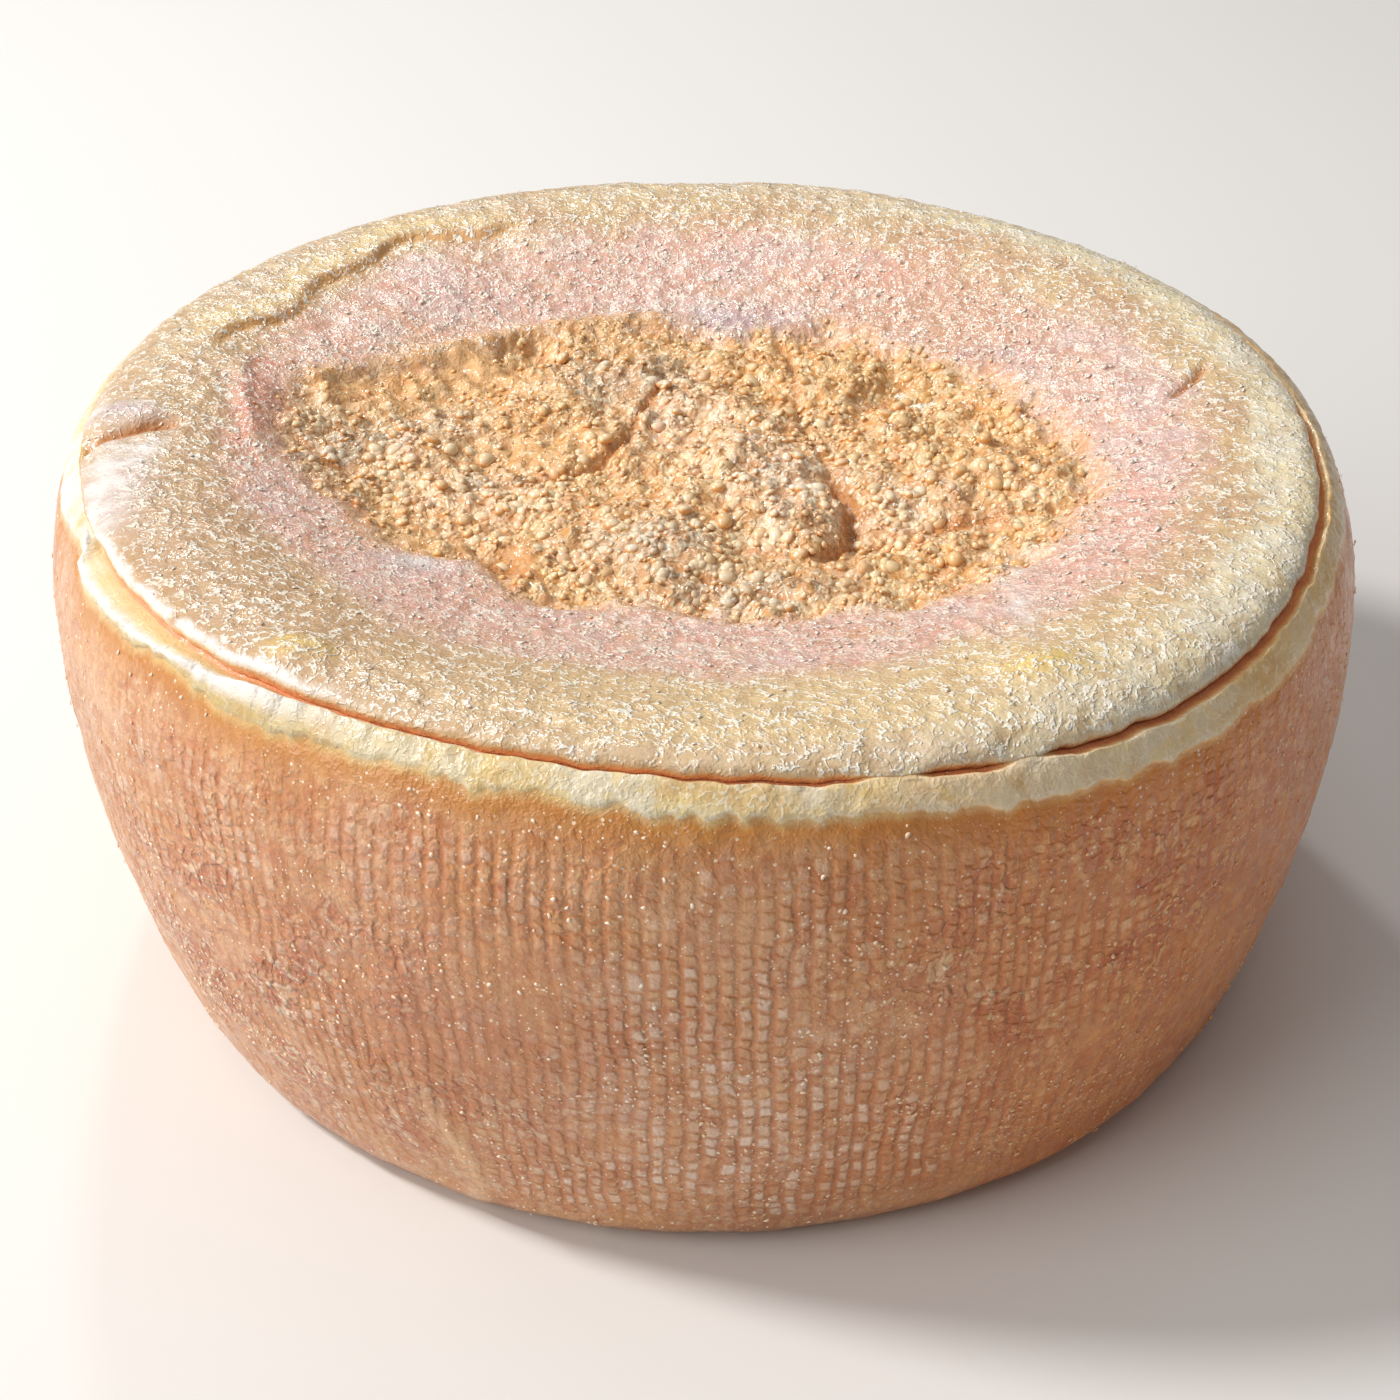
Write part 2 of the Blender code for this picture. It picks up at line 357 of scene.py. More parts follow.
# How far the crater reaches from its middle: direction in degrees, share of the wheel's radius
CRATER_REACH = ((-172, 0.61), (-156, 0.53), (-143, 0.52), (-132, 0.43), (-120, 0.49), (-95, 0.44),
                (-66, 0.50), (-40, 0.59), (-8, 0.64), (8, 0.59), (26, 0.56), (45, 0.51), (63, 0.51),
                (80, 0.43), (102, 0.475), (129, 0.475), (148, 0.50), (162, 0.61), (180, 0.63))
LEDGE_DROP = 0.8 * MM


def dish_height(radius):
    sunk = smooth((CREST_RADIUS - radius) / (CREST_RADIUS - FLOOR_RADIUS))
    return WHEEL_HEIGHT - DISH_DEPTH * sunk


def crater_depth_in(x, y):
    """How far inside the crater's edge a place lies; negative outside."""
    spot_x, spot_y = x - CRATER_X, y - CRATER_Y
    directions, reaches = np.array(CRATER_REACH).T
    reach = np.interp(np.degrees(np.arctan2(spot_y, spot_x)), directions, reaches, period=360.0)
    return reach * WHEEL_RADIUS - np.hypot(spot_x, spot_y)


def ledge_along(angle):
    """1 along the ledge at the back left, 0 elsewhere."""
    return 1.0 - smooth((angle_gap(angle, 140.0) - 20.0) / 8.0)


def in_from_ledge(radius, angle, share):
    """How many millimetres a place lies inside the ledge's wandering line at a share of the radius."""
    wander = 0.02 * np.sin(np.radians(angle * 9.0)) + 0.012 * np.sin(np.radians(angle * 23.0))
    return ((share + wander) * WHEEL_RADIUS - radius) / MM


def ledge_inside(radius, angle):
    """1 on the torn-down side of the ledge near its edge, fading out towards the middle."""
    near = in_from_ledge(radius, angle, 0.795)
    return ledge_along(angle) * smooth(near / 0.8) * (1.0 - smooth((near - 2.4) / 9.6))


# %% Furrows and mounds
# Each mark: its place and width in shares of the wheel's radius, and its rise in millimetres
CRATER_MARKS = (
    (-0.29, -0.30, 0.040, -2.2), (0.24, -0.20, 0.060, -1.9), (0.33, -0.15, 0.050, -1.0),
    (0.34, 0.23, 0.080, -1.3), (0.09, -0.06, 0.130, 1.4), (-0.05, -0.24, 0.120, 1.1),
    (0.42, -0.02, 0.110, 1.0), (-0.44, 0.02, 0.100, 1.1), (-0.22, 0.14, 0.090, 1.0),
    (-0.40, -0.16, 0.080, -0.9), (0.20, 0.30, 0.070, 0.8), (-0.12, 0.30, 0.090, 0.9),
)
RIM_LUMPS = ((-0.52, -0.68, 0.045, 0.9), (0.44, -0.68, 0.050, 0.8))
# Each furrow: its depth and half width in millimetres, and its route in shares of the radius
FURROWS = (
    (1.1, 0.55, (-0.06, 0.28), (-0.09, 0.18), (-0.12, 0.07), (-0.17, -0.02), (-0.29, -0.07)),
    (0.8, 0.45, (0.125, 0.44), (0.145, 0.33), (0.155, 0.15), (0.20, -0.05)),
    (1.6, 0.95, (0.20, -0.03), (0.225, -0.13), (0.22, -0.20), (0.17, -0.28)),
    (0.8, 0.5, (-0.07, -0.31), (0.0, -0.335), (0.06, -0.355), (0.15, -0.40)),
    (0.6, 0.7, (-0.64, 0.02), (-0.56, -0.06), (-0.48, -0.07)),
    (0.8, 0.8, (0.25, -0.20), (0.36, -0.17), (0.47, -0.15)),
    (1.3, 0.95, (-0.94, -0.13), (-0.87, -0.10), (-0.79, -0.055)),
    (0.9, 0.5, (0.72, 0.09), (0.76, 0.13), (0.79, 0.18)),
)
# Smooth raised edges of the crater and of the torn flake, written the same way
ORANGE_RIDGE = (0.9, 1.5, (-0.50, 0.26), (-0.40, 0.34), (-0.25, 0.43), (-0.12, 0.47), (-0.04, 0.48))
RIDGES = (
    ORANGE_RIDGE,
    (0.5, 1.0, (-0.73, 0.17), (-0.70, 0.05), (-0.66, -0.10)),
    (0.4, 0.5, (0.35, -0.50), (0.40, -0.60)),
    (0.5, 1.8, (-0.95, -0.06), (-0.88, -0.035), (-0.81, -0.02)),
)


def marks_height(x, y, marks):
    return sum(rise * MM * bump(np.hypot(x - a * WHEEL_RADIUS, y - b * WHEEL_RADIUS), width * WHEEL_RADIUS)
               for a, b, width, rise in marks)


def route_distance(x, y, route, steps=12):
    """Distance from each place to a route, and how far along it the nearest point is, 0 to 1."""
    corners = np.array(route) * WHEEL_RADIUS
    spots = np.linspace(0, len(corners) - 1, steps * (len(corners) - 1) + 1)
    knots = np.arange(len(corners))
    path = np.stack([np.interp(spots, knots, corners[:, axis]) for axis in (0, 1)], 1)
    nearest = np.full(x.shape, 1.0)
    along = np.zeros(x.shape)
    for index, (a, b) in enumerate(path):
        distance = np.hypot(x - a, y - b)
        closer = distance < nearest
        nearest = np.where(closer, distance, nearest)
        along = np.where(closer, index / (len(path) - 1), along)
    return nearest, along


def furrows_depth(x, y, furrows):
    """Depth of the deepest furrow at each place; it runs out softly at both ends."""
    depth = np.zeros(x.shape)
    for deep, width, *route in furrows:
        distance, along = route_distance(x, y, route)
        ends = smooth(along / 0.15) * smooth((1.0 - along) / 0.15)
        depth = np.maximum(depth, deep * MM * bump(distance, width * MM) * mix(0.35, 1.0, ends))
    return depth


# %% [markdown]
# The warts are domes that crowd against each other.  A Voronoi pattern gives exactly that: each
# place knows its nearest cell, and a dome over every cell leaves a crease between neighbours.

# %% Warts
def warts(points, size, seed):
    """Domes from 0 to 1 on crowded cells of many heights, and a number for each."""
    near, next_near, own = cells(points, size, seed)
    dome = np.sqrt(np.clip(1.0 - (near / 0.62) ** 2, 0.0, 1.0))
    crease = np.clip((next_near - near) / 0.25, 0.0, 1.0)
    return dome * mix(0.45, 1.0, own) * smooth(crease * 0.7 + 0.3), own


def spot(x, y, middle_x, middle_y, width, height):
    """A soft oval patch on the top, placed and sized in shares of the wheel's radius."""
    across = (x / WHEEL_RADIUS - middle_x) / width
    along = (y / WHEEL_RADIUS - middle_y) / height
    return np.exp(-(across ** 2 + along ** 2))


def warty_crust(flat):
    """Height of the warts, coarse at the right and fine at the left, and each wart's own number."""
    sway = [cloud(flat, 2.2 * MM, seed=1.3), cloud(flat, 2.2 * MM, seed=5.9), 0.0 * flat[:, 0]]
    bent = flat + 0.5 * MM * np.stack(sway, -1)
    big, big_own = warts(bent, 3.0 * MM, 0.0)
    small, small_own = warts(bent, 1.75 * MM, 11.0)
    fine, _ = warts(bent, 1.05 * MM, 23.0)
    rightwards = 0.5 * (flat[:, 0] / WHEEL_RADIUS)
    coarse = smooth(0.5 + 1.2 * cloud(flat, 11.0 * MM, octaves=2, seed=4.4) + rightwards)
    height = mix(0.25 * fine + 0.65 * small, 0.80 * small + 0.75 * big, coarse) * MM
    return height, mix(small_own, big_own, coarse), (0.16 * small + 0.12 * fine) * MM


def top_relief(x, y):
    """Height of the top inside the lip, and the masks that its colours need."""
    flat = np.stack([x, y, 0.0 * x], -1)
    radius = np.hypot(x, y)
    angle = np.degrees(np.arctan2(y, x))
    wobble = 1.1 * cloud(flat, 6.0 * MM, octaves=3, seed=7.7)
    wobble += 0.6 * cloud(flat, 2.6 * MM, octaves=2, seed=5.1)
    inside = crater_depth_in(x, y) + wobble * MM
    crater = smooth(inside / CRATER_EDGE + 0.5)
    lumps = np.array([noise.fractal(point, 0.8, 2.0, 2) for point in (flat / (9.0 * MM)).tolist()])
    lumps = 1.3 * MM * lumps + 0.5 * MM * cloud(flat, 4.2 * MM, octaves=2, seed=2.2)
    warty, own, pebbles = warty_crust(flat)
    furrows = furrows_depth(x, y, FURROWS)

    height = dish_height(np.minimum(radius, CREST_RADIUS))
    length = length_at_radius(np.maximum(radius, CREST_RADIUS))
    height = np.where(radius > CREST_RADIUS, on_outline(length)[1], height)
    height += crater * (lumps - CRATER_STEP + marks_height(x, y, CRATER_MARKS) + warty)
    ring = smooth(0.5 + (inside + 10.0 * MM) / (6.0 * MM)) * (1.0 - crater)
    height += ring * pebbles + (1.0 - crater) * 0.16 * MM * cloud(flat, 2.6 * MM, octaves=2, seed=9.0)
    height -= LEDGE_DROP * ledge_inside(radius, angle)
    height += marks_height(x, y, RIM_LUMPS) - furrows + furrows_depth(x, y, RIDGES)
    height += uneven_rim(angle) * smooth((radius / WHEEL_RADIUS - 0.2) / 0.5)

    pit = spot(x, y, -0.29, -0.30, 0.035, 0.035)
    ragged = cloud(flat, 2.0 * MM, octaves=3, seed=27.0)
    masks = {
        "crater": crater,
        "crust": smooth((inside / MM + 1.6 * ragged) / 6.5 + 0.5),
        "hollow": np.clip(1.0 - warty / (0.75 * MM), 0.0, 1.0) * crater,
        "furrow": np.clip(np.maximum(furrows, 0.9 * MM * pit) / (0.8 * MM), 0.0, 1.0),
        "wart": own,
        "face": bump(in_from_ledge(radius, angle, 0.787), 0.55) * ledge_along(angle),
        "gilt": bump(in_from_ledge(radius, angle, 0.825), 1.7) * ledge_along(angle),
        "ridge": furrows_depth(x, y, [ORANGE_RIDGE]) / (ORANGE_RIDGE[0] * MM),
    }
    return height, masks


print("relief of the top:", len(FURROWS), "furrows,", len(RIDGES), "ridges")

# %% [markdown]
# ## Two ways to lay out a skin
#
# A turned grid has a pole in its middle, where its quads become needles.  So the top uses a square
# grid that is squeezed into a disc, which keeps its quads nearly square, and only the side is a
# turned grid.  Both are written into a mesh by the same function.

# %% Mesh helpers
def make_mesh(name, points, faces, masks, threads=None):
    """A smooth object from points and faces, with masks as attributes and an optional UV map."""
    mesh = bpy.data.meshes.new(name)
    mesh.from_pydata(points.tolist(), [], faces)
    mesh.shade_smooth()
    for title, values in masks.items():
        attribute = mesh.attributes.new(title, "FLOAT", "POINT")
        attribute.data.foreach_set("value", np.ascontiguousarray(values, np.float32))
    if threads is not None:
        layer = mesh.uv_layers.new(name="threads")
        layer.data.foreach_set("uv", np.ascontiguousarray(threads, np.float32).ravel())
    thing = bpy.data.objects.new(name, mesh)
    bpy.context.scene.collection.objects.link(thing)
    return thing


def ring_faces(rings):
    """Quads between closed rings of point numbers that follow each other downwards."""
    faces = []
    for upper, lower in zip(rings[:-1], rings[1:]):
        after_upper, after_lower = np.roll(upper, -1), np.roll(lower, -1)
        faces += np.stack([upper, lower, after_lower, after_upper], 1).tolist()
    return faces


def fan_faces(ring, middle, upwards):
    """Triangles from a ring to a point in its middle."""
    after = np.roll(ring, -1)
    first, second = (ring, after) if upwards else (after, ring)
    return np.stack([first, second, np.full(len(ring), middle)], 1).tolist()


def disc_grid(count):
    """A square grid squeezed into a disc: share of the edge radius and angle for each point."""
    steps = np.linspace(-1.0, 1.0, count + 1)
    a, b = [side.ravel() for side in np.meshgrid(steps, steps, indexing="ij")]
    wide = np.abs(a) > np.abs(b)
    share = np.where(wide, a, b)
    safe_a, safe_b = np.where(wide, a, 1.0), np.where(wide | (b == 0.0), 1.0, b)
    turn = np.where(wide, math.pi / 4 * b / safe_a, math.pi / 2 - math.pi / 4 * a / safe_b)
    turn = turn + np.where(share < 0.0, math.pi, 0.0)
    return np.abs(share), np.degrees(turn)


def disc_numbers(count):
    return np.arange((count + 1) ** 2).reshape(count + 1, count + 1)


def disc_faces(count):
    numbers = disc_numbers(count)
    corners = [numbers[:-1, :-1], numbers[1:, :-1], numbers[1:, 1:], numbers[:-1, 1:]]
    return np.stack([corner.ravel() for corner in corners], 1).tolist()


def disc_edge(count):
    """The grid's edge points, anticlockwise."""
    numbers = disc_numbers(count)
    return np.concatenate([numbers[:-1, 0], numbers[-1, :-1], numbers[:0:-1, -1], numbers[0, :0:-1]])


print("a disc of 4 by 4 quads has", len(disc_edge(4)), "edge points")

# %% [markdown]
# ## The top
#
# The top ends in a soft lip that rolls over into the crack.  The disc stops where the roll starts,
# and a few rings carry on round the lip, down into the crack and out of sight below.
#
# Its colours could be painted by hand on a texture.  Here they are masks, one number for each point,
# so a patch can be moved as easily as a furrow.

# %% Where each colour of the top lies
# Each kind of patch: its strength, how ragged it is, and its ovals.  Each oval: its strength, its
# place and its half width in both directions, in shares of the wheel's radius
PATCHES = (
    ("red", 1.0, 1.4, (1.3, -0.685, 0.00, 0.030, 0.12), (1.0, -0.70, 0.15, 0.025, 0.05)),
    ("shelf", 1.0, 0.8, (1.0, -0.38, 0.30, 0.14, 0.07), (0.9, -0.53, 0.17, 0.10, 0.05),
     (0.7, -0.26, 0.04, 0.12, 0.05), (0.7, -0.44, -0.25, 0.09, 0.06)),
    ("wax", 1.0, 1.0, (1.0, -0.52, -0.68, 0.040, 0.022), (1.0, 0.44, -0.68, 0.055, 0.035)),
    ("grey", 0.9, 0.8, (1.2, -0.55, 0.00, 0.07, 0.10), (0.9, -0.41, 0.10, 0.07, 0.07),
     (1.2, -0.14, 0.28, 0.12, 0.08), (1.2, -0.08, -0.25, 0.10, 0.07), (1.1, 0.06, -0.37, 0.15, 0.045),
     (0.5, 0.13, -0.02, 0.06, 0.06), (0.8, -0.31, -0.07, 0.05, 0.025)),
    ("pale", 0.8, 0.9, (1.2, 0.12, -0.10, 0.08, 0.13), (0.7, 0.30, -0.12, 0.16, 0.08),
     (0.8, -0.05, 0.14, 0.10, 0.08), (0.9, -0.47, 0.03, 0.04, 0.04), (0.6, -0.35, -0.12, 0.12, 0.12),
     (0.5, 0.05, 0.05, 0.14, 0.14)),
    ("rose", 0.9, 0.9, (1.0, 0.63, -0.22, 0.06, 0.15), (0.8, 0.55, -0.43, 0.08, 0.06),
     (0.8, 0.36, 0.60, 0.13, 0.06), (0.8, 0.03, 0.72, 0.08, 0.04)),
    # A painted shadow along the crater's back edge
    ("dusk", 1.0, 1.0, (1.0, 0.05, 0.475, 0.11, 0.028), (0.6, 0.45, 0.30, 0.10, 0.04)),
    ("lilac", 1.0, 0.0, (0.9, -0.845, -0.28, 0.045, 0.11), (1.0, -0.405, -0.35, 0.05, 0.03),
     (1.2, -0.875, -0.035, 0.06, 0.025), (0.9, 0.02, 0.49, 0.10, 0.05), (0.6, 0.52, 0.18, 0.04, 0.06)),
    # White patches on the top, chalky and partly painted glare
    ("chalk", 0.75, 0.8, (1.3, -0.86, -0.26, 0.045, 0.13), (0.8, -0.82, -0.14, 0.03, 0.03),
     (0.9, -0.405, -0.345, 0.035, 0.02), (0.9, 0.44, -0.50, 0.018, 0.08), (0.6, 0.44, -0.34, 0.03, 0.07),
     (0.9, -0.93, -0.02, 0.03, 0.05), (0.7, -0.87, -0.01, 0.06, 0.010)),
)


def colour_masks(x, y):
    """Where the top is blushed pink, pale cream, golden, grey, lilac, or white as chalk and partly painted
    glare, and where a shadow is painted at the crater's edge.
    """
    flat = np.stack([x, y, 0.0 * x], -1)
    share, angle = np.hypot(x, y) / WHEEL_RADIUS, np.degrees(np.arctan2(y, x))
    patchy = cloud(flat, 9.0 * MM, octaves=4, seed=12.5)
    ragged = cloud(flat, 2.4 * MM, octaves=3, seed=6.6)
    outer = 0.755 + 0.045 * near_angle(angle, 140.0, 40.0) + 0.03 * near_angle(angle, -10.0, 40.0)
    outer -= 0.05 * near_angle(angle, -100.0, 35.0)
    right = smooth((85.0 - angle_gap(angle, 0.0)) / 45.0)

    def ring(inner_edge, inner_width, outer_edge, outer_width):
        return smooth((share - inner_edge) / inner_width) * smooth((outer_edge - share) / outer_width)

    masks = {
        "blush": smooth((outer + 0.035 * patchy + 0.018 * ragged - share) / 0.09),
        "cream": smooth((share - 0.80 + 0.03 * patchy) / 0.06) * mix(0.25, 1.0, right),
        "tan": near_angle(angle, -146.0, 46.0) * smooth((share - 0.62) / 0.12),
        "gold": near_angle(angle, -88.0, 42.0) * ring(0.64, 0.10, 0.90, 0.05),
        "salmon": near_angle(angle, 48.0, 26.0) * ring(0.46, 0.10, 0.80, 0.10),
    }
    for title, plain, frayed, *ovals in PATCHES:
        patches = sum(strength * spot(x, y, *oval) for strength, *oval in ovals)
        masks[title] = patches * (plain + frayed * ragged)
    masks["lilac"] += 0.4 * smooth(patchy * 2.0 - 0.2) * masks["blush"]
    return {title: np.clip(values, 0.0, 1.0) for title, values in masks.items()}


# %% The top skin
TOP_GRID = 296
LIP_ROLL = 0.95 * MM
LIP_RISE = 0.35 * MM
LIP_CHALK_AND_GLARE = 0.7 * MM
LIP_TUCK = 2.6 * MM
# Degrees that each ring has rolled over, and its depth in the crack's shade; one more is tucked in
LIP_STEPS = (16.0, 32.0, 48.0, 64.0, 80.0)
LIP_SHADES = (0.02, 0.08, 0.22, 0.42, 0.66, 1.0)
TOP_CORE = (0.0, 0.0, WHEEL_HEIGHT - 12.0 * MM)


def lip_size(angle):
    """Radius of the lip's roll, which fades where the crack is grown shut, and bulges a little."""
    right = 1.0 + 0.45 * near_angle(angle, -35.0, 35.0)
    uneven = 1.0 + 0.25 * cloud(on_circle(angle), 5.0 * MM, seed=8.2)
    return LIP_ROLL * right * mix(0.25, 1.0, crack_opening(angle)) * uneven


def lip_rings(angle, start, size, raised):
    """Rings of points that roll over the lip and end out of sight in the crack."""
    rings = []
    for step in LIP_STEPS:
        roll = math.radians(step)
        radius, height = on_outline(start + size * math.sin(roll), -size * (1.0 - math.cos(roll)))
        rings.append(place(radius, angle, height + raised))
    radius, height = on_outline(start + size, -LIP_TUCK)
    return rings + [place(radius, angle, height)]


def make_top():
    share, angle = disc_grid(TOP_GRID)
    size = lip_size(angle)
    start = crack_length(angle) - size
    radius, turn = share * on_outline(start)[0], np.radians(angle)
    x, y = radius * np.cos(turn), radius * np.sin(turn)
    height, relief = top_relief(x, y)
    inwards = start - length_at_radius(np.maximum(radius, CREST_RADIUS))
    near_lip = smooth((share - 0.8) / 0.1)
    height = height + LIP_RISE * crack_opening(angle) * smooth(1.0 - inwards / (4.5 * MM)) * near_lip
    masks = {**relief, **colour_masks(x, y)}
    ragged = cloud(np.stack([x, y, 0.0 * x], -1), 2.0 * MM, octaves=2, seed=63.0)
    # The lips' white, chalky and partly painted glare, reaches a little way onto the top
    lip_chalk_and_glare = chalk_and_glare_lips(angle) * smooth(1.0 + 0.9 * ragged - inwards / LIP_CHALK_AND_GLARE) * near_lip
    masks["chalk"] = np.maximum(lip_chalk_and_glare, masks["chalk"])

    edge = disc_edge(TOP_GRID)
    raised = height[edge] - on_outline(start[edge])[1]
    rolled = lip_rings(angle[edge], start[edge], size[edge], raised)
    points = np.concatenate([place(radius, angle, height), *rolled, [TOP_CORE]])
    rings = [edge] + [len(share) + ring * len(edge) + np.arange(len(edge)) for ring in range(len(rolled))]
    faces = disc_faces(TOP_GRID) + ring_faces(rings) + fan_faces(rings[-1], len(points) - 1, upwards=False)
    for title, values in masks.items():
        masks[title] = np.concatenate([values, np.tile(values[edge], len(rolled)), [0.0]])
    shade = np.outer(LIP_SHADES, crack_opening(angle[edge]))
    masks["crack"] = np.concatenate([0.0 * share, shade.ravel(), [0.0]])
    return points, faces, masks


top_points, top_faces, top_masks = make_top()
print("top skin:", len(top_points), "points,", len(top_faces), "faces")

# %% [markdown]
# ## The side and the base
#
# The cloth left about 264 ribs round the wheel.  Four columns of points to a rib, and two rows to a
# cross thread, are enough to carry that print in the mesh itself.  From top to bottom the rows
# make the floor of the crack, the trough and its lip, the pale torn band, the cloth-printed side,
# the rounded foot and the base.

# %% The rows of the side
RIBS = 264
COLUMNS = RIBS * 4
SIDE_ROWS = 68
BAND_THICK = 0.22 * MM
CRACK_DEPTH = 0.95 * MM


def band_width(angle):
    """How far the pale torn band reaches down from its lip."""
    wide = 0.5 * near_angle(angle, -45.0, 32.0) + 0.5 * near_angle(angle, 180.0, 60.0)
    ragged = 0.7 * cloud(on_circle(angle), 6.0 * MM, octaves=2, seed=14.0)
    ragged += 0.55 * cloud(on_circle(angle), 1.9 * MM, octaves=2, seed=15.0)
    left = -2.1 * smooth((-126.0 - angle) / 14.0) * smooth((angle + 168.0) / 14.0)
    return (2.6 + wide + left + ragged) * MM


def side_rows(angle):
    """Rows from the crack to the base: length along the outline, height above it, and shares of
    crack, band, trough and white lip, which is chalky and partly painted glare.  Also where the band ends,
    and the first row of the print."""
    crack, opening, gap = crack_length(angle), crack_opening(angle), crack_gap(angle)
    trough, white_lips, circle = trough_width(angle), chalk_and_glare_lips(angle), on_circle(angle)
    lip = crack + gap + trough + 0.35 * MM
    band = lip + band_width(angle)
    lip_rise = (0.22 + 0.12 * cloud(circle, 3.0 * MM, octaves=2, seed=21.0)) * mix(0.3, 1.0, opening) * MM
    deep = mix(0.02 * MM, CRACK_DEPTH, opening)
    knobs = (0.35 + 0.5 * cloud(circle, 1.3 * MM, octaves=2, seed=24.0)) * MM * white_lips
    rows = []

    def add_row(length, above, in_crack=0.0, in_band=0.0, in_trough=0.0, chalk=0.0):
        row = (length, above, in_crack * opening, in_band, in_trough, chalk * white_lips)
        rows.append([part + 0.0 * angle for part in row])

    for inwards, below in ((3.2, 3.8 * MM), (1.4, 3.4 * MM), (0.35, deep + 0.6 * MM), (0.05, deep)):
        add_row(crack - inwards * MM, -below, 1.0)
    wide_trough = smooth(trough / (1.2 * MM))
    for share in (0.0, 0.2, 0.4, 0.6, 0.8, 0.93):
        wall = -deep * (1.0 - share) ** 2.2
        sunk = -0.75 * MM * math.sin(math.pi * min(share + 0.25, 1.0)) ** 1.5 - 0.9 * MM * (1.0 - share) ** 6
        above = mix(wall + lip_rise * share, sunk + lip_rise * share ** 6, wide_trough)
        add_row(mix(crack + gap, lip, share), above + knobs * smooth((share - 0.6) / 0.4),
                1.0 - smooth(share / mix(0.75, 0.22, wide_trough)), 1.0,
                wide_trough * (1.0 - share ** 6), smooth((share - 0.62) / 0.3))
    for share in (0.0, 0.16, 0.33, 0.5, 0.66, 0.82, 0.95):
        ripple = cloud(circle + np.array([0.0, 0.0, share * 3.0 * MM]), 1.7 * MM, octaves=3, seed=2.9)
        above = mix(lip_rise, BAND_THICK, smooth(share / 0.5))
        above = above + 0.16 * MM * ripple * math.sin(math.pi * min(share + 0.1, 1.0))
        add_row(mix(lip, band, share), above + knobs * (1.0 - share), in_band=1.0,
                chalk=smooth((0.75 - share) / 0.5))
    add_row(band + 0.05 * MM, 0.06 * MM, in_band=0.8)
    add_row(band + 0.25 * MM, -0.02 * MM, in_band=0.25)
    first_printed = len(rows)
    for share in np.arange(1, SIDE_ROWS + 1) / SIDE_ROWS:
        straight = mix(np.mean(band), FOOT_START, share)
        add_row(straight + (band + 0.25 * MM - np.mean(band)) * (1.0 - share) ** 4, 0.0)
    for share in (0.2, 0.4, 0.6, 0.8, 1.0):
        add_row(mix(FOOT_START, FOOT_END, share), 0.0)
    return np.array(rows).swapaxes(0, 1), band, first_printed


print("the band is", round(band_width(np.arange(-180.0, 180.0)).mean() / MM, 1), "mm wide on average")

# %% [markdown]
# The rows are still smooth.  The cloth print, dents and colours are added to them next, by the
# place that each point has on the wheel.

# %% Print and colours of the side
PRINT_DEPTH = 0.20 * MM
PILLOW_SEED = 3


def print_strength(points):
    """How clearly the cloth shows: patchy, clearest low in front, faint near lip and foot."""
    angle = np.degrees(np.arctan2(points[..., 1], points[..., 0]))
    share = points[..., 2] / WHEEL_HEIGHT
    patchy = cloud(points, 14.0 * MM, octaves=3, seed=18.0)
    front = 0.45 * near_angle(angle, -92.0, 34.0)
    right = -0.30 * near_angle(angle, -35.0, 26.0)
    rim_to_foot = smooth((0.93 - share) / 0.12) * smooth((share - 0.03) / 0.12)
    return np.clip(0.34 + front + right + 0.70 * patchy, 0.05, 1.0) * rim_to_foot


def pillows(row_count, first_printed):
    """Height from 0 to 1 of the soft squares between the threads, some of them lower than others."""
    row, column = np.arange(row_count)[:, None], np.arange(COLUMNS)[None, :]
    across = 0.5 - 0.5 * np.cos(math.pi / 2 * column)
    down = 0.5 - 0.5 * np.cos(math.pi * (row - first_printed))
    own_height = np.random.default_rng(PILLOW_SEED).random((row_count // 2 + 1, RIBS))
    return (0.40 + 0.60 * down) * across * (0.55 + 0.45 * own_height[row // 2, column // 4])


def side_colours(points, angles, share, below_band):
    """Where the side is bloomed white, scurfy, brick red or pale above the print, painted darker where the
    key lamp lights the band, and painted in shade on the band at the back right.
    """

    def patch(middle, width, height, reach):
        return near_angle(angles, middle, width) * bump(share - height, reach)

    def patchy(plain, strength, size, octaves, seed):
        return np.clip(plain + strength * cloud(points, size * MM, octaves, seed), 0.0, 1.0)

    bloom = patch(-85.0, 16.0, 0.38, 0.20) + 0.6 * patch(-110.0, 14.0, 0.68, 0.13)
    bloom += 0.4 * patch(-58.0, 16.0, 0.30, 0.17)
    scurf = patch(-128.0, 20.0, 0.42, 0.26) + 0.8 * patch(-60.0, 14.0, 0.62, 0.22)
    scurf += 0.7 * patch(60.0, 50.0, 0.50, 0.30) + 0.25
    left_pale = near_angle(angles, -168.0, 14.0) + 0.5 * near_angle(angles, -64.0, 15.0)
    return {
        "bloom": bloom * patchy(0.7, 0.9, 5.0, 3, 44.0),
        "scurf": scurf * patchy(0.6, 1.5, 8.0, 3, 53.0) * smooth(below_band / (4.0 * MM)),
        "left_pale": left_pale * patchy(0.8, 1.0, 3.0, 2, 61.0),
        # Painted shade: greyer and darker on the band at the back right, where it lies in shade
        "band_shade_right": near_angle(angles, 28.0, 34.0),
        "brick": patch(-112.0, 13.0, 0.52, 0.20),
        # Painted darkening of the band at the left, where the key lamp lights it most
        "key_lit_darkening": near_angle(angles, -132.0, 26.0),
    }


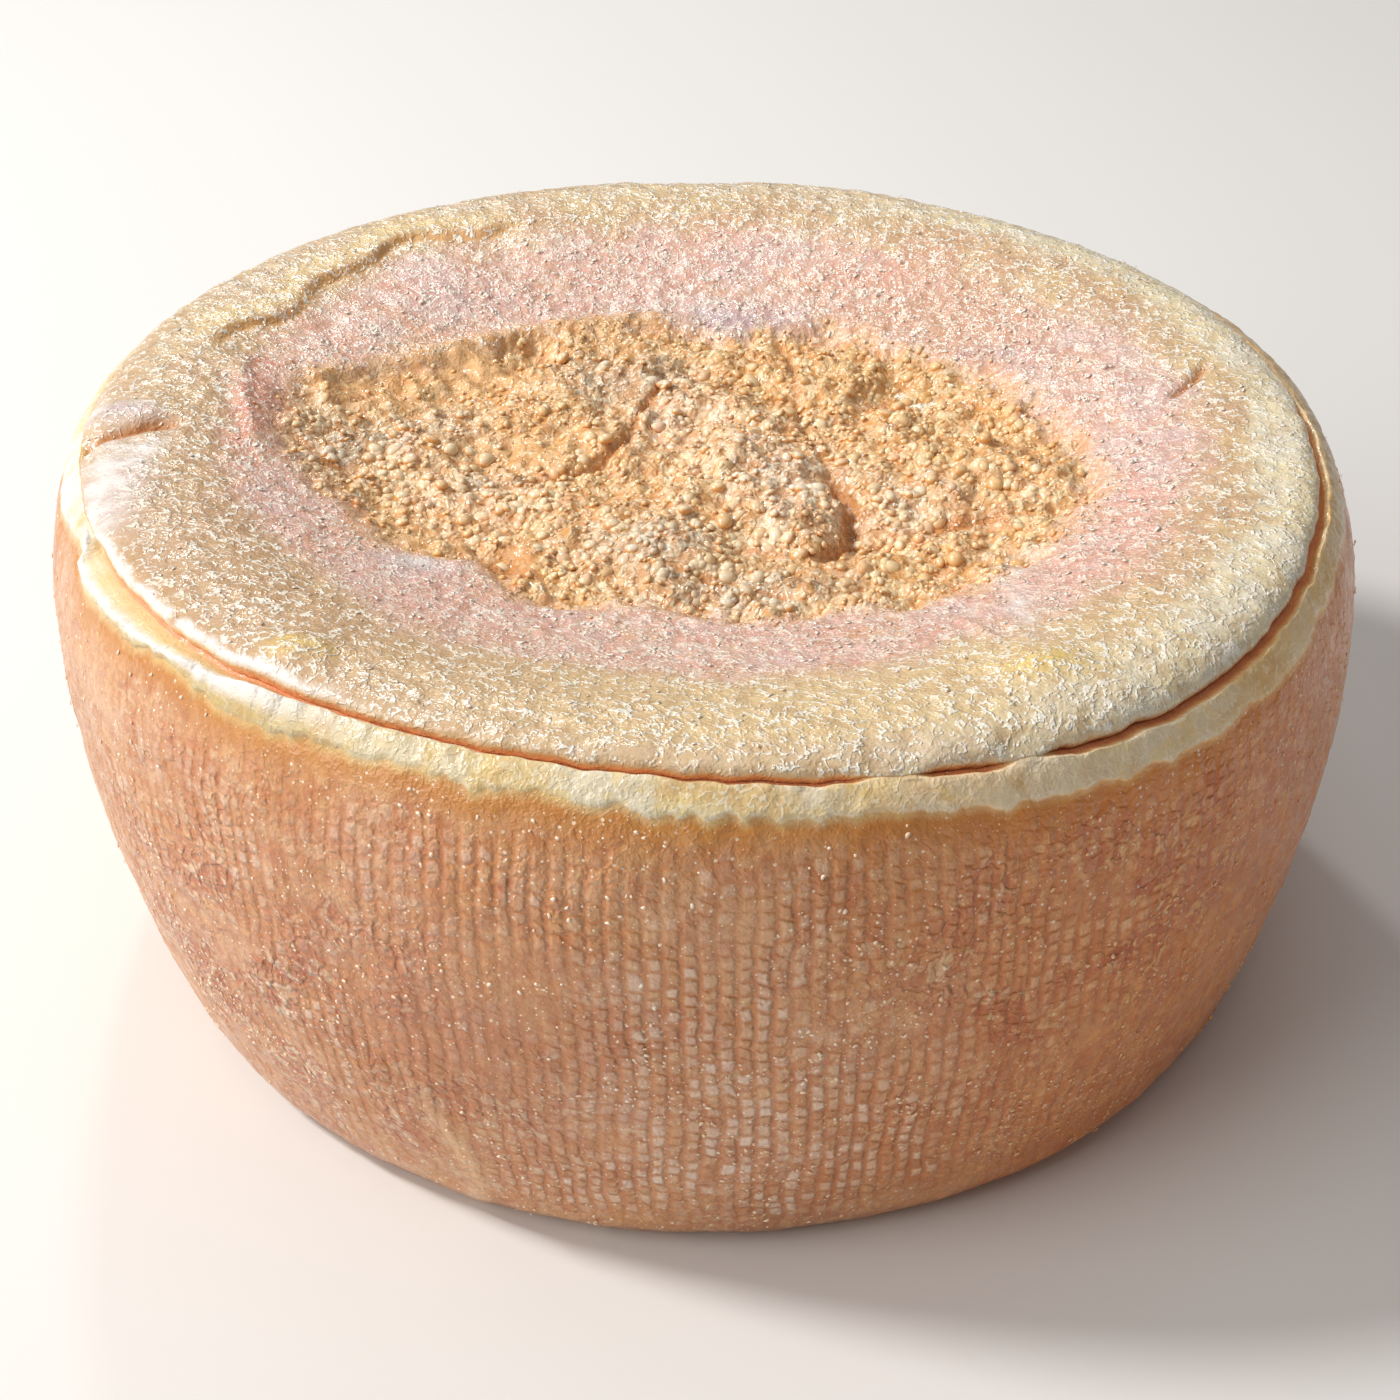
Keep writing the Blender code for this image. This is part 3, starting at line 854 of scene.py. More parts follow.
def painted_warm_shade(angles, share, below_band):
    """Painted warm shade: the right half, which lies in shade, is painted deeper orange, less so on the pale
    band.
    """
    shade = smooth((angles + 92.0) / 45.0) * smooth((150.0 - angles) / 60.0)
    paler = 0.7 * smooth((angles + 82.0) / 25.0) - 0.3 * smooth((angles + 52.0) / 20.0)
    return shade * mix(1.0, 0.72, share) * (1.0 - paler * (below_band < 0.0))


# %% The side skin
SIDE_CORE = (0.0, 0.0, WHEEL_HEIGHT - 14.0 * MM)
INNER_BASE = 0.45 * BASE_RADIUS
FAR_BELOW_BAND = 60.0 * MM


def make_side():
    """Points, faces and masks of the side, its rings of point numbers and the first printed ring."""
    angle = 360.0 * np.arange(COLUMNS) / COLUMNS - 180.0
    (length, above, crack, in_band, trough, chalk), band, first_printed = side_rows(angle)
    row = np.arange(len(length))[:, None] - first_printed
    angles = np.tile(angle, (len(length), 1))
    radius, height = on_outline(length)
    points = place(radius, angles, height)
    sway = 0.45 * cloud(points, 17.0 * MM, octaves=2, seed=30.0)
    sway += 0.16 * cloud(points, 3.2 * MM, octaves=2, seed=47.0)
    angles = angles + sway * smooth(6.0 * row / (SIDE_ROWS - 1)) * (row < SIDE_ROWS)

    share, below_band = height / WHEEL_HEIGHT, length - band
    strength = print_strength(points) * (row >= 0) * smooth((SIDE_ROWS - row) / 4.0)
    on_side = smooth((row + 4.0) / 4.0) * (length < FOOT_END - 0.5 * MM)
    dents = 0.16 * cloud(points, 6.5 * MM, octaves=3, seed=33.0)
    dents += 0.05 * cloud(points, 1.3 * MM, octaves=2, seed=36.0)
    fold_middle = -112.0 + 2.0 * np.sin(height / (5.0 * MM))
    fold = near_angle(angles, fold_middle, 1.3) * smooth((0.40 - share) / 0.15)
    above = above + PRINT_DEPTH * strength * (pillows(len(length), first_printed) - 0.5)
    above = above + on_side * dents * MM + 0.35 * MM * fold * smooth(height / FOOT_HEIGHT)
    masks = side_colours(points, angles, share, below_band)
    masks["scurf"] = np.minimum(masks["scurf"] * on_side, 1.0)

    radius, height = on_outline(length, above)
    height = height + uneven_rim(angles) * smooth((height - BULGE_HEIGHT) / (WHEEL_HEIGHT - BULGE_HEIGHT))
    height = np.maximum(height, 0.0)
    height[-1] = 0.0
    # Painted warm shade on the right half
    warm_shade = painted_warm_shade(angles, height / WHEEL_HEIGHT, below_band) * (length < FOOT_END)
    masks.update({"print": strength, "fold": fold, "warm_shade": warm_shade, "crack": crack, "band": in_band,
                  "trough": trough, "chalk": chalk, "below_band": below_band})
    extra = COLUMNS + 2
    masks = {title: np.append(values.ravel(), np.zeros(extra)) for title, values in masks.items()}
    masks["below_band"][-extra:] = FAR_BELOW_BAND

    inner = place(np.full(COLUMNS, INNER_BASE), angle, np.zeros(COLUMNS))
    skin = place(radius, angles, height).reshape(-1, 3)
    points = np.concatenate([skin, inner, [SIDE_CORE, (0.0, 0.0, 0.0)]])
    rings = list(np.arange(len(skin) + COLUMNS).reshape(-1, COLUMNS))
    faces = ring_faces(rings) + fan_faces(rings[0], len(points) - 2, upwards=True)
    faces += fan_faces(rings[-1], len(points) - 1, upwards=False)
    return points, faces, masks, rings, first_printed


def thread_map(faces, rings, first_printed):
    """A UV map that counts ribs across and cross threads down, with a clean seam."""
    column = np.zeros(rings[-1][-1] + 3)
    row = np.zeros_like(column)
    for index, ring in enumerate(rings):
        column[ring] = np.arange(COLUMNS)
        row[ring] = index - first_printed
    threads = []
    for face in faces:
        columns = column[face]
        if columns.max() - columns.min() > COLUMNS / 2:
            columns = np.where(columns < COLUMNS / 2, columns + COLUMNS, columns)
        threads.append(np.stack([columns / 4.0, row[face] / 2.0], 1))
    return np.concatenate(threads)


side_points, side_faces, side_masks, side_rings, first_printed = make_side()
side_threads = thread_map(side_faces, side_rings, first_printed)
print("side skin:", len(side_points), "points,", len(side_faces), "faces")

# %% [markdown]
# The solid was slid sideways so that it stands with its middle on the axis.  The skins follow: their
# joint box is measured and they are moved by the same rule.

# %% Put both skins on the axis
both = np.concatenate([top_points, side_points])
shift = -(both.min(0) + both.max(0)) / 2.0
shift[2] = 0.0
top_points, side_points = top_points + shift, side_points + shift
rind_top = make_mesh("rind_top", top_points, top_faces, top_masks)
rind_side = make_mesh("rind_side", side_points, side_faces, side_masks, side_threads)
print("moved by", np.round(shift / MM, 2), "mm")

# %% [markdown]
# ## Nodes written as short sentences
#
# A material is a small network.  It could be clicked together in the shader editor; in a script, a
# few helpers keep each line to one idea: add a node, mix two colours, do one sum.  Where a helper
# asks how much of a colour to lay on, a title means a mask of the mesh, a title with numbers means
# that mask stretched, and numbers alone mean blotches.

# %% Node helpers
class Net:
    """A node tree, with a short word for each kind of node that the rind needs."""

    def __init__(self, tree):
        self.tree = tree

    def put(self, socket, value):
        """Link a socket to another one, or give it a plain value."""
        if isinstance(value, bpy.types.NodeSocket):
            self.tree.links.new(value, socket)
        else:
            socket.default_value = value

    def add(self, kind, inputs, **settings):
        """A shader node's outputs, from its kind, its inputs and its settings."""
        node = self.tree.nodes.new("ShaderNode" + kind)
        for name, value in settings.items():
            setattr(node, name, value)
        for name, value in inputs.items():
            self.put(node.inputs[name], value)
        return node.outputs

    def use(self, group, **values):
        """A node group's outputs."""
        node = self.tree.nodes.new("ShaderNodeGroup")
        node.node_tree = group
        for title, value in values.items():
            self.put(node.inputs[title], value)
        return node.outputs

    def sums(self, operation, first, second=0.0):
        return self.add("Math", {0: first, 1: second}, operation=operation)[0]

    def vector(self, operation, first, second=(0.0, 0.0, 0.0)):
        return self.add("VectorMath", {0: first, 1: second}, operation=operation)[0]

    def between(self, share, start, end):
        """A number that goes from start to end as the share goes from 0 to 1."""
        return self.add("Mix", {0: share, 2: start, 3: end})[0]

    def scale_to(self, value, low_in, high_in, low_out=0.0, high_out=1.0):
        """Stretch a value from one range to another, eased and clamped."""
        inputs = {"Value": value, "From Min": low_in, "From Max": high_in,
                  "To Min": low_out, "To Max": high_out}
        return self.add("MapRange", inputs, interpolation_type="SMOOTHSTEP")["Result"]

    def mask(self, title):
        return self.add("Attribute", {}, attribute_name=title)["Fac"]

    def place(self):
        return self.add("TexCoord", {})["Object"]

    def noise(self, scale, **inputs):
        """The outputs of a cloudy noise, with so many clouds to the metre."""
        return self.add("TexNoise", {"Vector": self.place(), "Scale": scale, **inputs})

    def mottle(self, scale, detail=4.0, roughness=0.6):
        return self.noise(scale, Detail=detail, Roughness=roughness)["Fac"]

    def swirl(self, scale):
        """Noise in three directions round 0, to bend a pattern with."""
        return self.vector("SUBTRACT", self.noise(scale, Detail=2.0)["Color"], (0.5, 0.5, 0.5))

    def blotch(self, scale, amount, edge=0.08, shift=0.0):
        return self.use(blotches, Scale=scale, Amount=amount, Edge=edge, Shift=shift)["Mask"]

    def speck(self, scale, size, share):
        return self.use(specks, Scale=scale, Size=size, Share=share)["Mask"]

    def amount(self, part):
        """What a title, a title with numbers, or blotch numbers stand for; anything else is itself."""
        if isinstance(part, str):
            return self.mask(part)
        if isinstance(part, tuple) and isinstance(part[0], str):
            return self.scale_to(self.mask(part[0]), *part[1:])
        return self.blotch(*part) if isinstance(part, tuple) else part

    def product(self, first, *others):
        result = self.amount(first)
        for part in others:
            result = self.sums("MULTIPLY", result, self.amount(part))
        return result

    def total(self, first, *others):
        result = first
        for part in others:
            result = self.sums("ADD", result, part)
        return result

    def without(self, part):
        return self.sums("SUBTRACT", 1.0, self.amount(part))

    def lifted(self, part, least):
        """A value from 0 to 1 that is lifted so that it never falls below the least."""
        return self.sums("ADD", self.product(part, 1.0 - least), least)

    def blend(self, share, first, second, mode="MIX"):
        """Colour that goes from the first to the second as the share goes from 0 to 1."""
        first, second = [(*tint, 1.0) if isinstance(tint, tuple) else tint for tint in (first, second)]
        inputs = {0: self.amount(share), 6: first, 7: second}
        return self.add("Mix", inputs, data_type="RGBA", blend_type=mode)[2]

    def paint(self, skin, *layers, mode="MIX"):
        """Lay tints on a colour, one after the other: each is a tint and what its amount is made of."""
        for tint, *parts in layers:
            skin = self.blend(self.product(*parts), skin, tint, mode)
        return skin


def new_group(name, inputs, outputs):
    """An empty node group of numbers: its net, the sockets it is given and those it has to fill."""
    tree = bpy.data.node_groups.new(name, "ShaderNodeTree")
    for title, start in inputs.items():
        socket = tree.interface.new_socket(title, in_out="INPUT", socket_type="NodeSocketFloat")
        socket.default_value = start
    for title in outputs:
        tree.interface.new_socket(title, in_out="OUTPUT", socket_type="NodeSocketFloat")
    given = tree.nodes.new("NodeGroupInput").outputs
    results = tree.nodes.new("NodeGroupOutput").inputs
    return Net(tree), given, results


# %% [markdown]
# ## Three effects that all the rind shares
#
# Blotches: soft patches of one colour in another.  Specks: salt crystals and bits of mould, and
# partly painted glints, a few in some cells of a fine pattern.  Grit: the fine wet grain of a washed
# rind, which is both a bump and a change of shine.  Each is a node group, so the top, the side and
# the grains share one recipe and only their numbers differ.

# %% Blotches, specks and grit
FINEST_BLOTCH = 3600.0
WET_SPOTS = 420.0


def blotch_group():
    start = {"Scale": 100.0, "Amount": 0.5, "Edge": 0.1, "Shift": 0.0}
    net, given, results = new_group("blotches", start, ["Mask"])
    octaves = net.sums("LOGARITHM", net.sums("DIVIDE", FINEST_BLOTCH, given["Scale"]), 2.0)
    moved = net.vector("ADD", net.place(), given["Shift"])
    inputs = {"Vector": moved, "Scale": given["Scale"], "Detail": octaves, "Roughness": 0.62}
    cloudy = net.add("TexNoise", inputs)["Fac"]
    middle = net.sums("SUBTRACT", 1.0, given["Amount"])
    bottom = net.sums("SUBTRACT", middle, given["Edge"])
    top = net.sums("ADD", middle, given["Edge"])
    net.put(results["Mask"], net.scale_to(cloudy, bottom, top))
    return net.tree


def speck_group():
    net, given, results = new_group("specks", {"Scale": 1000.0, "Size": 0.2, "Share": 0.2}, ["Mask"])
    cell = net.add("TexVoronoi", {"Vector": net.place(), "Scale": given["Scale"]})
    number = net.add("SeparateColor", {"Color": cell["Color"]})
    chosen = net.sums("LESS_THAN", number["Red"], given["Share"])
    size = net.product(given["Size"], net.scale_to(number["Green"], 0.0, 1.0, 0.5, 1.0))
    near = net.sums("DIVIDE", cell["Distance"], size)
    net.put(results["Mask"], net.product(chosen, net.scale_to(near, 1.0, 0.55)))
    return net.tree


def grit_group():
    """Domes of wet grain with gaps between them, and curled lines where a noise crosses its middle."""
    start = {"Scale": 900.0, "Bend": 0.5, "Dull": 0.6, "Shiny": 0.3}
    net, given, results = new_group("grit", start, ["Height", "Roughness", "Gap", "Tint", "Curl"])
    folded = net.noise(net.product(given["Scale"], 0.62), Detail=2.0)["Fac"]
    curl = net.scale_to(net.sums("ABSOLUTE", net.sums("SUBTRACT", folded, 0.5)), 0.090, 0.01)
    reach = net.sums("DIVIDE", net.product(given["Bend"], 4.0), given["Scale"])
    swirl = net.swirl(net.product(given["Scale"], 0.6))
    bend = net.add("VectorMath", {0: swirl, "Scale": reach}, operation="SCALE")[0]
    inputs = {"Vector": net.vector("ADD", net.place(), bend), "Scale": given["Scale"]}
    grain = net.add("TexVoronoi", inputs)
    tint = net.add("SeparateColor", {"Color": grain["Color"]})
    dome = net.sums("SQRT", net.scale_to(grain["Distance"], 0.72, 0.0))
    height = net.product(dome, net.between(tint["Green"], 0.45, 1.0))
    wet = net.scale_to(net.mottle(WET_SPOTS, 2.5, 0.7), 0.40, 0.62)
    net.put(results["Height"], net.sums("ADD", height, net.product(curl, 0.8)))
    net.put(results["Roughness"], net.between(wet, given["Dull"], given["Shiny"]))
    net.put(results["Gap"], net.scale_to(grain["Distance"], 0.32, 0.70))
    net.put(results["Tint"], tint["Red"])
    net.put(results["Curl"], curl)
    return net.tree


blotches, specks, grit = blotch_group(), speck_group(), grit_group()
print("node groups:", [group.name for group in bpy.data.node_groups])

# %% What the rinds have in common
BUMP_HEIGHT = 0.14 * MM


def short_curls(net, curl):
    """The curled lines of the grit, broken into short pieces that lie in crowds."""
    return net.product(curl, (850.0, 0.50, 0.04, 0.6), net.lifted((120.0, 0.62, 0.12, 1.9), 0.5))


def crack_colour_and_shade(net, skin):
    """Painted shade, deeper into the crack, and partly the crack's own red: tan where the rind rolls in,
    then orange, then red in the crack itself.
    """
    return net.paint(skin, ((0.80, 0.54, 0.29), ("crack", 0.0, 0.4)),
                     ((0.82, 0.46, 0.21), ("crack", 0.3, 0.7)),
                     ((0.82, 0.36, 0.18), ("crack", 0.7, 1.0)))


def rind_shader(name, coat, light_inside=0.08, light_reach=0.0008):
    """A material whose shader lets a little light in, as a fatty rind does; its net and sockets."""
    material = bpy.data.materials.new(name)
    material.use_nodes = True
    sockets = material.node_tree.nodes["Principled BSDF"].inputs
    sockets["Specular IOR Level"].default_value = 0.5
    sockets["Subsurface Weight"].default_value = light_inside
    sockets["Subsurface Radius"].default_value = (1.0, 0.45, 0.2)
    sockets["Subsurface Scale"].default_value = light_reach
    sockets["Coat Weight"].default_value = coat
    sockets["Coat Roughness"].default_value = 0.12
    return material, Net(material.node_tree), sockets


def finish_rind(net, sockets, skin, roughness, height):
    """Put a rind's colour, shine and bump on its shader."""
    inputs = {"Height": height, "Strength": 1.0, "Distance": BUMP_HEIGHT}
    normal = net.add("Bump", inputs)["Normal"]
    for title, value in (("Base Color", skin), ("Roughness", roughness), ("Normal", normal),
                         ("Coat Normal", normal)):
        net.put(sockets[title], value)


print("a bump is", BUMP_HEIGHT / MM, "mm high")

# %% [markdown]
# ## The top's rind
#
# From rim to middle the top goes from cream and tan, through a pink blush where the washing
# bacteria are youngest, to an ochre crust in the crater.  The masks carry where each colour lies;
# blotches and specks break their edges up.

# %% Material of the top
def rim_colour(net):
    skin = net.blend((90.0, 0.5, 0.12), (0.68, 0.48, 0.29), (0.64, 0.41, 0.25))
    return net.paint(
        skin,
        ((0.76, 0.58, 0.31), (190.0, 0.46, 0.08, 0.1), 0.75),
        ((0.90, 0.80, 0.54), "cream"),
        ((0.84, 0.80, 0.68), "cream", (120.0, 0.50, 0.08, 1.1), 0.70),
        ((0.81, 0.63, 0.35), "gold"),
        ((0.56, 0.35, 0.20), "tan", 0.85),
        ((0.88, 0.66, 0.20), "wax", 0.85),
        ((0.62, 0.42, 0.22), (480.0, 0.44, 0.08, 0.9), 0.5),
    )


def pink_colour(net):
    skin = net.blend((210.0, 0.5, 0.10, 0.5), (0.73, 0.41, 0.33), (0.80, 0.53, 0.46))
    return net.paint(
        skin,
        ((0.70, 0.37, 0.30), (480.0, 0.45, 0.08, 0.3), 0.6),
        ((0.78, 0.46, 0.25), (170.0, 0.42, 0.10, 3.3), 0.5),
        ((0.86, 0.72, 0.66), (420.0, 0.40, 0.07, 2.6), 0.5),
        ((0.90, 0.78, 0.70), (620.0, 0.36, 0.05, 8.2), 0.7),
        ((0.62, 0.34, 0.21), "salmon", 0.75),
    )


def ochre_colour(net, crumbs):
    skin = net.blend((150.0, 0.5, 0.12, 0.8), (0.78, 0.44, 0.16), (0.86, 0.58, 0.28))
    # The crowns of the lumps: partly their own cream, partly painted light on their tops
    crowns = net.product(net.scale_to(crumbs["Height"], 0.30, 0.85), net.lifted(crumbs["Tint"], 0.3))
    return net.paint(
        skin,
        # Raised warts painted lighter and hollows darker: partly their own colours, partly painted light and
        # shade
        ((0.90, 0.70, 0.42), net.without("hollow"), "wart", 0.6),
        ((0.70, 0.33, 0.09), "hollow", 0.45),
        ((0.74, 0.36, 0.11), (130.0, 0.46, 0.08, 6.4), 0.65),
        ((0.78, 0.34, 0.20), (300.0, 0.40, 0.07, 1.3), 0.6),
        ((0.96, 0.80, 0.53), crowns, 0.70),
        ((0.97, 0.87, 0.74), "pale", 0.65),
        ((0.60, 0.51, 0.39), "grey", 0.65),
        ((0.82, 0.74, 0.60), "grey", crowns, 0.6),
        # The gaps between lumps: partly their own orange, partly painted shade; darkest in the grey patches
        ((0.62, 0.26, 0.06), crumbs["Gap"], 0.60),
        ((0.30, 0.20, 0.12), "grey", crumbs["Gap"], 0.40),
    )


def top_material():
    material, net, sockets = rind_shader("rind_top", coat=0.55)
    grain = net.use(grit, Scale=1300.0, Bend=0.9, Dull=0.46, Shiny=0.22)
    crumbs = net.use(grit, Scale=780.0, Bend=0.9, Dull=0.40, Shiny=0.16)
    bare = net.without(net.sums("MAXIMUM", net.mask("chalk"), net.mask("crust")))
    # The curls are pale cream lines, partly painted curled highlights
    curls = net.product(short_curls(net, grain["Curl"]), ("blush", 0.0, 1.0, 1.0, 0.75), bare)
    # Salt specks, partly painted glints
    salt_and_glints = net.speck(1200.0, 0.26, 0.35)
    wet = net.product("blush", bare, net.lifted((240.0, 0.52, 0.10, 4.7), 0.3))
    # The glints are painted highlights: white dots in the colour, also a little raised in the bump
    glints = net.product(net.speck(2300.0, 0.48, 0.85), wet)
    skin = net.paint(
        net.blend("blush", rim_colour(net), pink_colour(net)),
        ((0.80, 0.40, 0.32), "rose", 0.55),
        ((0.66, 0.53, 0.57), "lilac", 0.8),
        # Painted shadow along the crater's back edge
        ((0.47, 0.31, 0.35), "dusk", 0.8),
        ((0.50, 0.28, 0.13), grain["Gap"], 0.16),
        (ochre_colour(net, crumbs), "crust"),
        ((0.82, 0.48, 0.21), "shelf", 0.80),
        ((0.66, 0.25, 0.17), "red", 0.7),
        ((0.86, 0.66, 0.32), "gilt", 0.7),
        # The ledge's face: its own orange, and partly a painted shadow line under the ledge's edge
        ((0.84, 0.44, 0.15), "face", 0.85),
        ((0.76, 0.42, 0.16), "ridge", 0.7),
        ((0.98, 0.93, 0.82), curls, 0.95),
        ((0.98, 0.92, 0.80), salt_and_glints, bare, 0.85),
        ((1.0, 0.93, 0.85), glints, 0.95),
        # White lips and patches: chalky, and partly painted glare
        ((0.86, 0.82, 0.79), "chalk", 0.9),
        # Furrows and the pit: dark brown-orange, partly their own colour and partly painted shade
        ((0.58, 0.23, 0.06), "furrow", 0.85),
    )
    dots = net.total(net.product(net.total(salt_and_glints, curls), 0.5), net.product(glints, 0.35))
    soft = net.product(net.mottle(420.0, 3.0, 0.55), ("crust", 0.0, 1.0, 2.6, 1.2))
    rough = net.sums("SUBTRACT", net.mask("crust"), net.product("shelf", 0.7))
    crumbly = net.product(crumbs["Height"], rough, 0.9)
    height = net.total(dots, net.product(grain["Height"], 0.25), net.total(soft, crumbly))
    # The rings that roll into the crack get painted crack shade
    finish_rind(net, sockets, crack_colour_and_shade(net, skin), grain["Roughness"], height)
    return material


rind_top.data.materials.append(top_material())
print("the top's material has", len(rind_top.data.materials[0].node_tree.nodes), "nodes")

# %% [markdown]
# ## The side's rind
#
# The side is tan and brick-coloured skin, lighter on the cloth's ribs, with a torn cream band
# under the crack, a painted ochre shade just below the band and a painted warm shade on the right
# half.  The cloth print is already in the mesh; the bump adds the finer squares that its threads left.

# %% Material of the side
def cloth_pillows(net):
    """Masks of the cloth print: a soft square for each pillow, and a number of its own."""
    threads = net.add("UVMap", {}, uv_map="threads")["UV"]
    bend = net.vector("MULTIPLY", net.swirl(240.0), (0.8, 1.6, 0.0))
    rib = net.add("SeparateXYZ", {0: net.vector("ADD", threads, bend)})
    number = net.sums("FLOOR", rib["X"])
    slid = net.add("TexWhiteNoise", {"W": number}, noise_dimensions="1D")["Value"]
    lower = net.total(rib["Y"], net.product(slid, 0.7))
    bent = net.add("CombineXYZ", {"X": rib["X"], "Y": lower})[0]
    part = net.add("SeparateXYZ", {0: net.vector("FRACTION", bent)})
    across, down = [net.sums("ABSOLUTE", net.sums("SUBTRACT", part[axis], 0.5)) for axis in "XY"]
    pillow = net.product(net.scale_to(across, 0.46, 0.18), net.scale_to(down, 0.56, 0.24))
    whole = net.vector("FLOOR", bent)
    own = net.add("TexWhiteNoise", {"Vector": whole}, noise_dimensions="2D")["Value"]
    return pillow, own


def printed_colour(net, pillow, own, grain, scurf):
    """Tan and brick skin with the cloth's pale squares, its bloom and its scurf."""
    depth = net.mask("below_band")
    raised = net.product(pillow, "print", net.scale_to(net.mottle(55.0), 0.38, 0.62))
    bloomed = net.product("bloom", net.lifted(net.scale_to(own, 0.3, 0.9), 0.2), net.lifted(pillow, 0.2))
    flakes = net.product("scurf", net.scale_to(scurf["Tint"], 0.60, 0.85), net.without(scurf["Gap"]))
    glow = net.product(net.scale_to(depth, 1.3 * MM, 0.0), net.scale_to(net.mottle(300.0), 0.3, 0.6))
    skin = net.blend((60.0, 0.5, 0.16), (0.68, 0.335, 0.125), (0.57, 0.245, 0.09))
    return net.paint(
        skin,
        ((0.78, 0.50, 0.33), (75.0, 0.42, 0.10, 4.2), 0.5),
        ((0.58, 0.21, 0.10), (140.0, 0.42, 0.10, 2.1), 0.6),
        ((0.50, 0.175, 0.06), (330.0, 0.42, 0.09, 0.4), 0.65),
        ((0.80, 0.50, 0.25), (500.0, 0.45, 0.10, 0.7), 0.50),
        ((0.90, 0.67, 0.51), raised, net.scale_to(own, 0.10, 0.85), 0.95),
        ((0.95, 0.86, 0.78), raised, net.scale_to(own, 0.72, 1.0), (120.0, 0.50, 0.10, 3.8), 0.8),
        ((0.60, 0.20, 0.045), net.without(pillow), "print", 0.75),
        ((0.86, 0.68, 0.56), bloomed, 0.7),
        ((0.36, 0.13, 0.05), grain["Gap"], 0.20),
        ((0.50, 0.13, 0.05), "scurf", scurf["Gap"], 0.8),
        ((0.88, 0.74, 0.54), flakes, 0.75),
        ((0.50, 0.18, 0.08), "brick", 0.55),
        # Painted shade: darker ochre just below the band, as under its torn edge
        ((0.57, 0.235, 0.045), net.scale_to(depth, 4.5 * MM, 0.3 * MM), 0.85),
        ((0.80, 0.56, 0.22), glow, 0.75),
        ((0.78, 0.50, 0.27), "fold", 0.6),
    )


def band_colour(net, grain):
    """The torn band: cream, painted darker at the left where the key lamp lights it, painted in shade at the
    back right, white on its lip, which is chalky and partly painted glare.
    """
    skin = net.blend((240.0, 0.5, 0.10, 0.9), (0.82, 0.66, 0.36), (0.74, 0.52, 0.24))
    skin = net.paint(
        skin,
        ((0.81, 0.72, 0.54), (130.0, 0.46, 0.08, 1.4)),
        # Pale curls on the band, partly painted highlights
        ((0.93, 0.87, 0.70), short_curls(net, grain["Curl"]), 0.65),
        ((0.88, 0.68, 0.30), (420.0, 0.42, 0.07, 7.7), 0.6),
    )
    # Painted darkening where the key lamp lights the band most, at the left
    skin = net.paint(skin, ((0.72, 0.65, 0.48), "key_lit_darkening"), mode="MULTIPLY")
    return net.paint(
        skin,
        # Painted shade: the band greyed at the back right
        ((0.70, 0.63, 0.45), "band_shade_right", 0.85),
        ((0.82, 0.64, 0.33), "trough", 0.8),
        ((0.86, 0.82, 0.73), "left_pale"),
        # White lip: chalky, and partly painted glare
        ((0.86, 0.83, 0.80), "chalk", 0.9),
    )


def side_material():
    material, net, sockets = rind_shader("rind_side", coat=0.45, light_inside=0.0)
    pillow, own = cloth_pillows(net)
    grain = net.use(grit, Scale=1500.0, Bend=0.8, Dull=0.55, Shiny=0.30)
    scurf = net.use(grit, Scale=640.0, Bend=1.2, Dull=0.5, Shiny=0.25)
    skin = net.blend("band", printed_colour(net, pillow, own, grain, scurf), band_colour(net, grain))
    # Painted shade: the band darker and greyer at the back right, just below the crack
    skin = net.paint(crack_colour_and_shade(net, skin),
                     ((0.55, 0.47, 0.34), "band_shade_right", "band", ("crack", 0.75, 0.35), 0.9))
    # Painted warm shade: the right half is multiplied deeper orange
    skin = net.paint(skin, ((1.30, 0.89, 0.42), "warm_shade"), mode="MULTIPLY")
    # Tiny pale specks: salt and mould, partly painted glints
    tiny = net.sums("MAXIMUM", net.speck(1150.0, 0.26, 0.50), net.speck(1900.0, 0.30, 0.35))
    crowds = net.lifted((110.0, 0.53, 0.08, 5.1), 0.25)
    skin = net.paint(skin, ((1.0, 0.82, 0.62), tiny, crowds, net.without("band"), 0.9))
    height = net.total(net.product(grain["Height"], 0.25), net.product(pillow, "print", 1.4),
                       net.product(net.mottle(420.0, 3.0, 0.6), 1.8),
                       net.product("scurf", scurf["Height"], 2.0))
    finish_rind(net, sockets, skin, grain["Roughness"], height)
    return material


rind_side.data.materials.append(side_material())
print("the side's material has", len(rind_side.data.materials[0].node_tree.nodes), "nodes")

# %% [markdown]
# ## Grains, crumbs, beads and crystals
#
# The crater's crust is loose warts, the wet rind carries tiny beads of smear, and salt crystals
# cling to the side; the pale beads and crystals are partly painted glints.  Particles would scatter
# them, but only real mesh can be handed on, so each kind is one merged mesh of small spheres.  A
# sphere sits on a point of the skin, half sunk, and its size, turn and tone are drawn from a seeded
# generator, so every run gives the same cheese.

# %% Scatter helpers
def unit_ball(subdivisions):
    ball = bmesh.new()
    bmesh.ops.create_icosphere(ball, subdivisions=subdivisions, radius=1.0)
    points = np.array([point.co for point in ball.verts])
    faces = np.array([[point.index for point in face.verts] for face in ball.faces])
    ball.free()
    return points, faces


def skin_normals(thing):
    normals = np.empty(len(thing.data.vertices) * 3)
    thing.data.vertices.foreach_get("normal", normals)
    return normals.reshape(-1, 3)


def pick(draw, weights, count):
    """Numbers of points, drawn so that a point with twice the weight comes up twice as often."""
    return draw.choice(len(weights), size=count, replace=False, p=weights / weights.sum())


